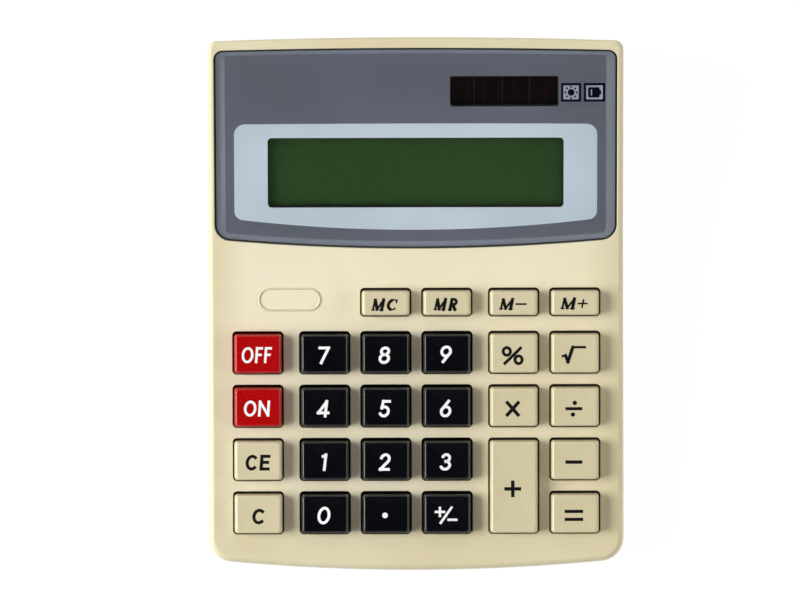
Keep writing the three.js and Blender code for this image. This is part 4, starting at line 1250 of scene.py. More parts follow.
@dataclass(frozen=True)
class Legend:
    """Sign or word printed on a key: flat strokes of one pen."""

    text: str
    width: float
    height: float
    pen: float
    slant: float
    face: Face

    def strokes(self) -> list[tuple[float, list[Vector]]]:
        """Pen widths and middle lines of all strokes, about the middle of the legend.

        Returns:
            Widths and lines in millimetres.
        """
        table = ROMAN if self.face is Face.ROMAN else PLAIN
        gap = self.pen * LETTER_GAP[self.face]
        shares = [LETTER_SHARE.get(letter, 1.0) for letter in self.text]
        unit = (self.width - gap * (len(self.text) - 1)) / sum(shares)
        slope = math.tan(math.radians(self.slant))
        lines = []
        left = -self.width / 2
        for letter, share in zip(self.text, shares):
            inner = unit * share - self.pen
            low, tall = -self.height / 2, self.height
            if letter in "+-" and len(self.text) > 1:
                low, tall = low + SIGN_LIFT * self.height, SIGN_HEIGHT * self.height
            for weight, stroke in table[letter]:
                line = []
                for u, v in stroke:
                    x = left + self.pen / 2 + u * inner
                    y = low + self.pen / 2 + v * (tall - self.pen)
                    line.append(Vector((x + y * slope, y)))
                lines.append((weight * self.pen, line))
            left += unit * share + gap
        return lines

    def dots(self) -> list[tuple[float, float, float]]:
        """Round dots of the legend: x, y and radius."""
        if self.text == ".":
            return [(0.0, 0.0, self.width / 2)]
        if self.text == "/":
            radius = self.pen * DOT_SHARE
            reach = self.height / 2 - radius
            lean = reach * math.tan(math.radians(self.slant))
            return [(side * lean, side * reach, radius) for side in (-1, 1)]
        return []

    def outlines(self) -> list[tuple[Line, Line, bool]]:
        """Both sides of each stroke, with open ends carried on by half the pen.

        Returns:
            Left side, right side and whether the stroke is closed.
        """
        made = []
        for pen, line in self.strokes():
            closed = (line[0] - line[-1]).length < 1e-4
            if closed:
                line = line[:-1]
            else:
                first = line[0] + (line[0] - line[1]).normalized() * pen / 2
                last = line[-1] + (line[-1] - line[-2]).normalized() * pen / 2
                line = [first, *line[1:-1], last]
            left, right = [], []
            for i, point in enumerate(line):
                before = line[i - 1] if i or closed else None
                after = line[(i + 1) % len(line)] if i + 1 < len(line) or closed else None
                normals = [
                    Vector((-(b - a).y, (b - a).x)).normalized()
                    for a, b in ((before, point), (point, after)) if a is not None and b is not None
                ]
                out = sum(normals, Vector((0.0, 0.0))).normalized()
                # A sharp bend is cut short, so its mitre stays under 1.7 half pens
                out *= pen / 2 / max(out.dot(normals[0]), 0.6)
                left.append(tuple(point + out))
                right.append(tuple(point - out))
            made.append((left, right, closed))
        return made

    def solid(self, lift: Callable[[float, float], float], sunk: float, proud: float) -> Solid:
        """Thin closed strokes that follow the top of a key.

        Args:
            lift: Height of the key's top over a place.
            sunk: How far the strokes reach into the key.
            proud: How far they stand above it.

        Returns:
            The strokes as one solid.
        """
        mesh = bmesh.new()

        def corners(line: Profile, level: float) -> Corners:
            """Corners along a line, at a level over the key's top."""
            return [mesh.verts.new((x, y, lift(x, y) + level)) for x, y in line]

        for left, right, closed in self.outlines():
            low_left, low_right, high_left, high_right = (
                corners(side, level) for level in (-sunk, proud) for side in (left, right)
            )
            count = len(left)
            for i in range(count if closed else count - 1):
                j = (i + 1) % count
                mesh.faces.new((high_left[i], high_left[j], high_right[j], high_right[i]))
                mesh.faces.new((low_left[i], low_right[i], low_right[j], low_left[j]))
                mesh.faces.new((low_left[i], low_left[j], high_left[j], high_left[i]))
                mesh.faces.new((low_right[j], low_right[i], high_right[i], high_right[j]))
            if not closed:
                for i in (0, -1):
                    mesh.faces.new((low_left[i], high_left[i], high_right[i], low_right[i]))
        for x, y, radius in self.dots():
            rim = circle(radius, x, y, DOT_SIDES)
            low, high = corners(rim, -sunk), corners(rim, proud)
            for i in range(DOT_SIDES):
                j = (i + 1) % DOT_SIDES
                mesh.faces.new((low[i], low[j], high[j], high[i]))
            mesh.faces.new(low[::-1])
            mesh.faces.new(high)
        return Solid(mesh)


# Sub-assemblies


@dataclass
class Keypad:
    """27 spring-back keys with printed legends."""

    rise: float = 3.2
    skirt: float = 0.7
    shadow_gap: float = 0.12
    slope_x: float = 0.4
    slope_y: float = 0.26
    lean: float = 0.13
    corner: float = 0.8
    edge: float = 0.5
    edge_drop: float = 0.38
    edge_steps: int = 9
    dish: float = 0.14
    dish_steps: int = 8
    flange_top: float = -2.3
    flange_bottom: float = -3.5
    flange_reach: float = 0.85
    flange_corner: float = 2.5
    legend_sunk: float = 0.05
    legend_proud: float = 0.02

    def build(self) -> None:
        """Makes every key with its legend."""
        for key in KEYS:
            self.cap(key)
            self.legend(key)

    def top_z(self, key: Key, x: float, y: float) -> float:
        """Height of a key's dished top over a place that is measured from its middle."""
        half_x = KEY_WIDTH / 2 - self.slope_x - self.edge
        half_y = key.depth / 2 - self.slope_y - self.edge
        away = max(abs(x) / half_x, abs(y) / half_y)
        return self.rise - self.dish * (1 - min(away, 1.0) ** 2)

    def cap(self, key: Key) -> None:
        """Makes the cap: flange, upright skirt, sloping sides, rounded edge and dished top.

        Args:
            key: The key.
        """
        half_x, half_y = KEY_WIDTH / 2 - self.shadow_gap, key.depth / 2 - self.shadow_gap
        side = self.rise - self.skirt

        def ring(in_x: float, in_y: float, corner: float, z: float) -> Ring:
            """Outline of the cap at a height, drawn in, which leans back above the skirt."""
            back = self.lean * min(max(z - self.skirt, 0) / side, 1)
            sizes = half_x - in_x, half_y - in_y, corner
            return at_height(rounded_rectangle(*sizes, x=key.x, y=key.y + back), z)

        reach = self.flange_reach
        rings = [ring(-reach, -reach, self.flange_corner, z) for z in (self.flange_bottom, self.flange_top)]
        rings += [ring(0, 0, self.corner, z) for z in (self.flange_top, self.skirt)]
        for inset, drop in fillet(self.edge, self.edge_steps):
            drop *= self.edge_drop / self.edge
            share = (side - drop) / side
            in_x, in_y = self.slope_x * share + inset, self.slope_y * share + inset
            rings.append(ring(in_x, in_y, self.corner - inset / 2, self.rise - drop))
        wide, deep = half_x - self.slope_x - self.edge, half_y - self.slope_y - self.edge
        for i in range(1, self.dish_steps):
            share = 1 - i / self.dish_steps
            corner = max((self.corner - self.edge / 2) * share, 0.02)
            outline = rounded_rectangle(wide * share, deep * share, corner, x=key.x, y=key.y + self.lean)
            rings.append(at_height(outline, self.rise - self.dish * (1 - share * share)))
        slot, finish, _ = key.tone.value
        Solid.loft(rings).place(f"cap_{key.name}", finish, key.body, slot, KEYPAD, [key.node], 40)

    def legend(self, key: Key) -> None:
        """Prints the legend on the key's top.

        Args:
            key: The key.
        """
        text = Legend(key.legend, *key.size, key.pen, key.slant, key.face)

        def lift(x: float, y: float) -> float:
            """Height of the key's top over a place of the legend."""
            return self.top_z(key, x - key.left, y - key.drop - self.lean)

        solid = text.solid(lift, self.legend_sunk, self.legend_proud)
        slot, _, ink = key.tone.value
        solid.moved_to(key.x - key.left, key.y - key.drop)
        solid.place(f"legend_{key.name}", ink, key.body, slot, KEYPAD)


@dataclass
class KeyMat:
    """Rubber mat under the keys: a sheet with a hollow dome under each key."""

    low: float = -6.3
    thickness: float = 1.0
    corner: float = 0.8
    side_margin: float = 7.6
    rear_margin: float = 1.15
    screw_hole: float = 2.15
    dome_top: float = -3.8
    foot_radius: float = 3.7
    crown_radius: float = 2.2
    crown_edge: float = 0.12
    wall: float = 0.8
    keep: float = 0.5
    sides: int = 32

    def build(self) -> None:
        """Makes the sheet and the domes."""
        self.sheet()
        for key in KEYS:
            self.dome(key)

    def share(self, key: Key) -> float:
        """Size of a key's dome as a share of a full one."""
        return min(1.0, key.depth / KEY_DEPTH)

    def sheet(self) -> None:
        """Makes the sheet with its openings for the domes and the board screws."""
        front, rear = ROW_Y[0] - KEY_DEPTH / 2, ROW_Y[MEMORY_ROW] + MEMORY_DEPTH / 2 + self.rear_margin
        left, right = COLUMN_X[0] - self.side_margin, COLUMN_X[-1] + self.side_margin
        outline = rounded_rectangle(
            (right - left) / 2, (rear - front) / 2, self.corner, 6, (left + right) / 2, (front + rear) / 2,
        )
        top = self.low + self.thickness
        foot = [self.share(key) * self.foot_radius - self.wall / 2 for key in KEYS]
        holes = [circle(radius, key.x, key.y, self.sides) for radius, key in zip(foot, KEYS)]
        holes += [circle(self.screw_hole, x, y, 24) for x, y in BOARD_SCREWS]
        solid = Solid.slab(outline, self.low, top)
        solid.cut(Solid.group(Solid.slab(hole, self.low - PAST, top + PAST) for hole in holes))
        solid.place("mat_sheet", MAT_RUBBER, "root", "mat_rubber", KEYPAD, ["key_mat"])

    def dome(self, key: Key) -> None:
        """Makes a dome under a key, with a mesh of its own.

        Args:
            key: The key above it.
        """
        share = self.share(key)
        foot, crown = self.foot_radius * share, self.crown_radius * share
        # Sloping wall, then the rounded rim of the crown
        outside = (
            (foot, self.low + self.thickness / 2), (crown + 0.1, self.dome_top - 0.2),
            (crown, self.dome_top - 0.07), (crown - self.crown_edge, self.dome_top),
        )
        hollow = ((foot - self.wall, self.low - PAST), (crown - self.wall, self.dome_top - self.wall))
        solid, inside = (
            Solid.loft([at_height(circle(radius, key.x, key.y, self.sides), z) for radius, z in profile])
            for profile in (outside, hollow)
        )
        solid.cut(inside)
        item = solid.place(f"dome_{key.name}", MAT_RUBBER, "root", "mat_rubber", KEYPAD)
        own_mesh(item)


@dataclass(frozen=True)
class Screw:
    """Cross-recess screw: radius of its shank and of its head, height of its head, length of its shank."""

    radius: float
    head: float
    tall: float
    length: float
    pitch: float = 0.5
    core: float = 0.82
    arm: float = 0.6
    slot: float = 0.22

    def solid(self) -> Solid:
        """The screw, with its seat at zero and its head below.

        Returns:
            The solid.
        """
        head, tall = self.head, self.tall
        # Flat face and rounded edge of the head, then a thread of small ridges, then the point
        profile = [(0, -tall), (head - 0.5, -tall), (head - 0.15, -tall * 0.8)]
        profile += [(head, -tall * 0.45), (head, 0)]
        along = 0.0
        while along < self.length - 1.0:
            profile += [(self.radius, along), (self.radius * self.core, along + self.pitch / 2)]
            along += self.pitch
        solid = Solid.turned(profile + [(self.radius * 0.8, self.length - 0.6), (0.1, self.length)], 32)
        long, narrow = head * self.arm * 2, self.slot * head
        for width, depth in ((long, narrow), (narrow, long)):
            solid.cut(Solid.box(width, depth, -tall - PAST, -tall + tall * self.arm))
        return solid


@dataclass
class Shell:
    """Top and bottom mouldings of the case, their screws and feet."""

    wall: float = 2.0
    draft: float = 0.4
    edge: float = 1.3
    parting: float = 7.0
    mould_edge: float = 0.15
    hole_edge: float = 0.1
    hole_gap: float = 0.25
    hole_corner: float = 1.05
    rear_gap: float = 0.2
    lens_gap: float = 0.5
    recess_floor: float = -2.0
    tray_wall: float = 1.4
    lip: float = 0.9
    lip_rise: float = 1.7
    lower_edge: float = 1.2
    lower_draft: float = 0.5
    boss_radius: float = 2.6
    boss_low: float = 7.3
    boss_sunk: float = 1.0
    pilot_radius: float = 1.4
    pilot_top: float = 10.5
    post_radius: float = 3.4
    screw_seat: float = 4.2
    case_screw: Screw = Screw(1.1, 2.3, 1.6, 6.0)
    board_screw: Screw = Screw(0.7, 1.6, 0.9, 5.3)
    board_low: float = -8.5
    foot_radius: float = 4.5
    foot_top: float = 1.3
    foot_edge: float = 0.4
    foot_hollow: float = 2.9
    hollow_depth: float = 0.12
    hollow_slope: float = 0.3
    seat_radius: float = 4.8
    seat_depth: float = 0.6
    rib_half: float = 0.6
    rib_shares: tuple[float, ...] = (-0.78, -0.16, 0.16, 0.78)
    rib_rear_gap: float = 7.0
    line_half: float = 7.8
    line_width: float = 0.5
    line_rise: float = 0.3
    line_sunk: float = 0.1
    line_short: float = 0.6
    line_fullness: float = 0.7
    line_steps: int = 8
    line_place: Point = (-31.45, 1.25)
    screws: dict[str, Point] = field(default_factory=lambda: {
        "front": (20.118, FRONT_Y + 4.6), "middle": (44.35, BEND_Y - 1), "rear": (44.35, REAR_Y - 7.4),
    })
    feet: dict[str, Point] = field(default_factory=lambda: {"front": (43.0, -55.0), "rear": (40.325, 48.0)})

    def build(self) -> None:
        """Makes both mouldings, the screws and the feet."""
        self.top()
        self.moulded_outline()
        self.bottom()
        self.make_screws()
        self.make_feet()

    def under_top(self, inset: float, sink: float, edge: float, low: float) -> Solid:
        """Solid under the case's top surface.

        Args:
            inset: How far its sides are drawn in.
            sink: How far its top lies under the surface.
            edge: Radius of its upper edge.
            low: Height of its flat bottom.

        Returns:
            The solid.
        """
        rings = [at_height(mirrored(CASE.half(inset, None, BEND_LEVELS)), low)]
        for drawn, drop in fillet(edge, 7) if edge else [(0.0, 0.0)]:
            outline = mirrored(CASE.half(inset + self.draft + drawn, None, BEND_LEVELS))
            rings.append(at_height(outline, lambda y, d=drop: surface_z(y) - sink - d))
        return Solid.loft(rings, across=True)

    def flared(self, outlines: Callable[[float], Profile], low: float, edge: float) -> Solid:
        """Cutter that leaves a rounded edge at height zero.

        Args:
            outlines: Gives the outline, spread by a distance.
            low: Height of the cutter's lower end.
            edge: Radius of the edge that it leaves.

        Returns:
            The cutter.
        """
        rings = [at_height(outlines(0.0), low)]
        rings += [at_height(outlines(spread), -drop) for spread, drop in fillet(edge, 4)]
        rings.append(at_height(outlines(edge), 2 * PAST))
        return Solid.loft(rings)

    def posts(self, radius: float, low: float, high: float | Callable[[float], float]) -> Solid:
        """Round posts at the six case screws, as one solid.

        Args:
            radius: Their radius.
            low: Height of their lower ends.
            high: Height of their upper ends, or a function that gives it from y.

        Returns:
            The posts.
        """
        return Solid.group(
            Solid.slab(circle(radius, x, y), low, high(y) if callable(high) else high)
            for _, x, y in pairs(self.screws)
        )

    def top(self) -> None:
        """Makes the top moulding with its display tray, 27 openings and bosses."""
        solid = self.under_top(0, 0, self.edge, self.parting)
        hollow = self.under_top(self.wall, self.wall, 0, self.parting - PAST)
        tray_low = self.recess_floor - self.tray_wall
        tray = Solid.slab(WINDOW.whole(-self.lens_gap - self.tray_wall), tray_low, PAST)
        hollow.cut(tray.moved(DISPLAY.matrix()))
        rebate_inset = self.wall - self.lip - FIT / 2
        rebate_top = self.parting + self.lip_rise + FIT
        rebate = Solid.slab(CASE.whole(rebate_inset), self.parting - PAST, rebate_top)
        solid.cut(hollow, rebate)
        solid.join(self.posts(self.boss_radius, self.boss_low, lambda y: surface_z(y) - self.boss_sunk))
        recess = self.flared(
            lambda spread: WINDOW.whole(-self.lens_gap - spread), self.recess_floor, self.mould_edge,
        )
        view, strip = (Solid.slab(part.outline(), tray_low - PAST, 0) for part in (TRAY_VIEW, TRAY_STRIP))
        for cutter in (recess, view, strip):
            solid.cut(cutter.moved(DISPLAY.matrix()))
        openings = [self.opening(key) for key in KEYS]
        pilots = self.posts(self.pilot_radius, self.parting - PAST, self.pilot_top)
        solid.cut(pilots, Solid.group(openings).moved(KEYPAD.matrix()))
        solid.place("shell_top", IVORY_CASE, "root", "ivory_case", nodes=["top_case"], sharp=35)

    def opening(self, key: Key) -> Solid:
        """Cutter of one key's opening.

        Args:
            key: The key.

        Returns:
            The cutter.
        """
        half_x = KEY_WIDTH / 2 + self.hole_gap
        half_y = key.depth / 2 + self.hole_gap + self.rear_gap / 2
        middle = key.x, key.y + self.rear_gap / 2

        def outline(spread: float) -> Profile:
            """Outline of the opening, spread by a distance."""
            sizes = half_x + spread, half_y + spread, self.hole_corner + spread
            return rounded_rectangle(*sizes, 8, *middle)

        return self.flared(outline, -self.wall - PAST, self.hole_edge)

    def moulded_outline(self) -> None:
        """Makes the raised stadium-shaped line left of the memory keys."""
        half_y = (MEMORY_DEPTH - self.line_short) / 2
        rings = []
        steps = self.line_steps
        for i in range(steps + 1):
            a = math.pi * i / steps
            inset = self.line_width / 2 * (1 - math.cos(a))
            bulge = math.sin(a) ** self.line_fullness
            crown = (self.line_rise + self.line_sunk) * bulge - self.line_sunk
            half_x, short = self.line_half - inset, half_y - inset
            outline = rounded_rectangle(half_x, short, short - 0.02, 16, *self.line_place)
            rings.append(at_height(outline, crown if 0 < i < steps else -self.line_rise))
        mesh = bmesh.new()
        bridge(mesh, rings, closed=True)
        # the line's darker colour is painted shade
        Solid(mesh).place("moulded_outline", IVORY_RIB, "root", "ivory_case", KEYPAD, sharp=50)

    def bottom(self) -> None:
        """Makes the bottom moulding with its lip, posts, battery trough and seats."""
        top = self.parting - FIT
        rings = [
            at_height(CASE.whole(self.lower_draft + inset), FOOT_HEIGHT + drop)
            for inset, drop in reversed(fillet(self.lower_edge, 7))
        ]
        solid = Solid.loft(rings + [at_height(CASE.whole(), top)])
        envelope = solid.copy()
        lip_outer = self.wall - self.lip + FIT / 2
        lip_top = self.parting + self.lip_rise
        inner = lip_outer + self.lip
        solid.join(Solid.slab(CASE.whole(lip_outer), FLOOR_TOP, lip_top))
        solid.cut(Solid.loft([
            at_height(CASE.whole(inset), z)
            for inset, z in ((inner + self.lower_draft, FLOOR_TOP), (inner, top), (inner, lip_top + PAST))
        ]))
        solid.join(self.posts(self.post_radius, FOOT_HEIGHT, self.parting).combine(envelope, "INTERSECT"))
        bay = BatteryBay()
        solid.join(bay.holder(), self.ribs())
        solid.cut(*bay.spaces())
        head = self.case_screw.head + FIT
        solid.cut(
            self.posts(head, 0, self.screw_seat + FIT),
            self.posts(self.pilot_radius, 0, self.parting + PAST),
            self.posts(self.boss_radius + FIT, self.parting, lip_top + PAST),
        )
        solid.cut(Solid.group(
            Solid.slab(circle(self.seat_radius, x, y), 0, FOOT_HEIGHT + self.seat_depth)
            for _, x, y in pairs(self.feet)
        ))
        solid.place("shell_bottom", IVORY_CASE, "root", "ivory_case", nodes=["bottom_case"], sharp=35)

    def ribs(self) -> Solid:
        """Board ribs on the floor, which follow the slope of the keypad."""
        front, rear = ROW_Y[0], ROW_Y[MEMORY_ROW] - self.rib_rear_gap
        base = KEYPAD.z + self.board_low / math.cos(KEYPAD_TILT)
        tops = [(y, base + y * math.tan(KEYPAD_TILT)) for y in (rear, front)]
        corners = [(front, FLOOR_TOP - PAST), (rear, FLOOR_TOP - PAST), *tops]
        return Solid.group(
            Solid.loft([
                [Vector((share * HALF_WIDTH + side, y, z)) for y, z in corners]
                for side in (-self.rib_half, self.rib_half)
            ])
            for share in self.rib_shares
        )

    def make_screws(self) -> None:
        """Makes the six case screws and the four board screws."""
        for place, x, y in pairs(self.screws):
            solid = self.case_screw.solid().moved_to(x, y, self.screw_seat)
            solid.place(f"screw_{place}", STEEL, "root", "steel", nodes=[f"case_screw_{place}"])
        for i, (x, y) in enumerate(BOARD_SCREWS, 1):
            solid = self.board_screw.solid().moved_to(x, y, self.board_low)
            solid.place(f"screw_board_{i}", STEEL, "root", "steel", KEYPAD, [f"board_screw_{i}"])

    def make_feet(self) -> None:
        """Makes the four rubber feet, each with a shallow hollow in its face."""
        depth = self.hollow_depth
        profile = [(0, depth), (self.foot_hollow - self.hollow_slope, depth), (self.foot_hollow, 0)]
        profile += [(self.foot_radius - inset, drop) for inset, drop in reversed(fillet(self.foot_edge, 4))]
        profile += [(self.foot_radius, self.foot_top), (0, self.foot_top)]
        for place, x, y in pairs(self.feet):
            solid = Solid.turned(profile).moved_to(x, y)
            solid.place(f"pad_{place}", FOOT_RUBBER, "root", "foot_rubber", nodes=[f"foot_{place}"])


@dataclass
class BatteryBay:
    """Trough for one round cell, with its contacts, wires and cover."""

    y: float = REAR_Y - 14
    cover_top: float = 2.6
    radius: float = 7.25
    gap: float = 0.35
    wall: float = 1.3
    half_length: float = 29.2
    corner: float = 1.0
    notch: tuple[float, float, float] = (6.0, 3.5, 1.5)
    notch_depth: float = 1.2
    tail_room: tuple[float, float, float] = (3.9, 3.6, 2.5)
    tail_top: float = 4.5
    tab_x: float = 18.0
    tab_width: float = 6.0
    tab_stem: float = 1.5
    tab_reach: float = 3.9
    tab_thickness: float = 1.2
    tab_room: float = 1.04
    latch_width: float = 10.0
    latch_thickness: float = 1.0
    latch_rise: float = 2.2
    latch_back: float = 0.6
    cover_edge: float = 0.25
    grooves: int = 5
    groove_half: float = 5.0
    groove_shrink: float = 0.5
    groove_section: Point = (0.3, 0.28)
    groove_step: float = 1.2
    groove_back: float = 3.4
    groove_depth: float = 0.35
    coil_turns: int = 4
    coil_steps: int = 160
    coil_radius: float = 4.25
    coil_narrowing: float = 1.6
    coil_length: float = 5.5
    coil_foot: float = 0.35
    wire_radius: float = 0.34
    cell_start: float = 6.2

    @property
    def half_depth(self) -> float:
        """Half the depth of the trough inside."""
        return self.radius + self.gap + FIT / 2

    @property
    def axis_z(self) -> float:
        """Height of the cell's axis."""
        return self.cover_top + self.gap + self.radius

    @property
    def roof(self) -> float:
        """Height of the trough's inner roof."""
        return self.axis_z + self.radius + self.gap

    @property
    def spring_x(self) -> float:
        """Place of the spring's foot."""
        return -self.half_length + FIT

    def plate(self, drawn: float, corner: float, steps: int, low: float, high: float) -> Solid:
        """Upright slab over the trough's outline.

        Args:
            drawn: How far the outline is drawn in.
            corner: Radius of its corners.
            steps: Steps round each corner.
            low: Height of its lower face.
            high: Height of its upper face.

        Returns:
            The slab.
        """
        half_x, half_y = self.half_length - drawn, self.half_depth - drawn
        return Solid.slab(rounded_rectangle(half_x, half_y, corner, steps, 0, self.y), low, high)

    def holder(self) -> Solid:
        """Outer block of the trough."""
        return self.plate(-self.wall, self.corner, 4, FOOT_HEIGHT, self.roof + self.wall)

    def spaces(self) -> list[Solid]:
        """Spaces of the cell, the cover, the finger notch, the contact tails and the tabs."""
        notch = rounded_rectangle(*self.notch, 6, 0, self.y + self.half_depth)
        made = [
            Solid.box(2 * self.half_length, 2 * self.half_depth, FLOOR_TOP, self.roof, 0, self.y),
            self.plate(0, self.corner, 6, 0, FLOOR_TOP + PAST),
            Solid.slab(notch, 0, FOOT_HEIGHT + self.notch_depth),
        ]
        high = self.axis_z + self.tail_top + FIT
        wide, deep, tall = self.tail_room
        tab_y = self.y - self.half_depth - self.wall
        tab_top = FLOOR_TOP + FIT + self.tab_thickness + self.tab_room
        tab = self.tab_width + 2 * FIT, 4 * self.wall
        for side in (-1, 1):
            tail_x = side * (self.half_length + self.wall / 2)
            made.append(Solid.box(wide, deep, high - tall, high, tail_x, self.y))
            made.append(Solid.box(*tab, FLOOR_TOP, tab_top, side * self.tab_x, tab_y))
        return made

    def build(self) -> None:
        """Makes the cover, the cell and its spring contact."""
        self.cover()
        self.cell()
        self.spring()

    def cover(self) -> None:
        """Makes the cover with its tabs, latch and the ribbed thumb grip."""
        half_x, half_y = self.half_length - FIT, self.half_depth - FIT
        levels = [(inset, FOOT_HEIGHT + drop) for inset, drop in reversed(fillet(self.cover_edge, 3))]

        def outline(inset: float) -> Profile:
            """Outline of the cover, drawn in."""
            corner = self.corner - inset / 2
            return rounded_rectangle(half_x - inset, half_y - inset, corner, 6, 0, self.y)

        levels.append((0, self.cover_top))
        solid = Solid.loft([at_height(outline(inset), z) for inset, z in levels])
        hinge_y = self.y - self.half_depth + FIT
        low, high = FLOOR_TOP + FIT, FLOOR_TOP + FIT + self.tab_thickness
        tab_y = hinge_y + self.tab_stem - self.tab_reach / 2
        joint = self.cover_top - FIT
        for x in (-self.tab_x, self.tab_x):
            solid.join(
                Solid.box(self.tab_width, self.tab_stem, joint, high, x, hinge_y + self.tab_stem / 2),
                Solid.box(self.tab_width, self.tab_reach, low, high, x, tab_y),
            )
        latch_y = self.y + half_y - self.latch_back - self.latch_thickness / 2
        latch_top = self.cover_top + self.latch_rise
        solid.join(Solid.box(self.latch_width, self.latch_thickness, joint, latch_top, 0, latch_y))
        grooves = []
        for i in range(self.grooves):
            y = self.y + half_y - self.groove_back - self.groove_step * i
            sizes = self.groove_half - self.groove_shrink * i, *self.groove_section
            groove = rounded_rectangle(*sizes, 4, 0, y)
            grooves.append(Solid.slab(groove, 0, FOOT_HEIGHT + self.groove_depth))
        solid.cut(Solid.group(grooves))
        solid.place("cover_plate", IVORY_CASE, "cover", "ivory_case", nodes=["battery_cover"])

    def cell(self) -> None:
        """Makes the round cell with its crimped rim and nub."""
        r, turn = self.radius, 0.8
        # Radius and distance from the flat end: flat end, rounded edge, jacket with its crimped rim, nub
        profile = [(0, 0.35), (4.6, 0.35), (4.9, 0), (r - turn, 0)]
        profile += [
            (r - turn + turn * math.sin(a), turn - turn * math.cos(a)) for a in (0.4, 0.8, 1.2, math.pi / 2)
        ]
        profile += [(r, 47.6), (r - 0.25, 48.1), (r - 0.1, 48.7), (r - 0.5, 49.3), (r - 1.0, 49.5)]
        profile += [(3.4, 49.5), (3.1, 49.2), (2.75, 49.3), (2.75, 50.2), (2.5, 50.5), (0, 50.5)]
        flat_end = self.spring_x + self.cell_start + FIT
        solid = Solid.turned(profile, 64, "X").moved_to(flat_end, self.y, self.axis_z)
        solid.place("cell_body", JACKET, "root", "cell_jacket", nodes=["battery_cell"])

    def spring(self) -> None:
        """Makes the conical coil contact."""
        path = []
        for i in range(self.coil_steps + 1):
            t = i / self.coil_steps
            a = 2 * math.pi * self.coil_turns * t
            radius = self.coil_radius - self.coil_narrowing * t
            along = self.coil_foot + self.coil_length * t
            path.append(Vector((along, radius * math.cos(a), radius * math.sin(a))))
        solid = Solid.tube(path, self.wire_radius, 10).moved_to(self.spring_x, self.y, self.axis_z)
        solid.place("spring_coil", STEEL, "root", "steel", nodes=["battery_spring"])


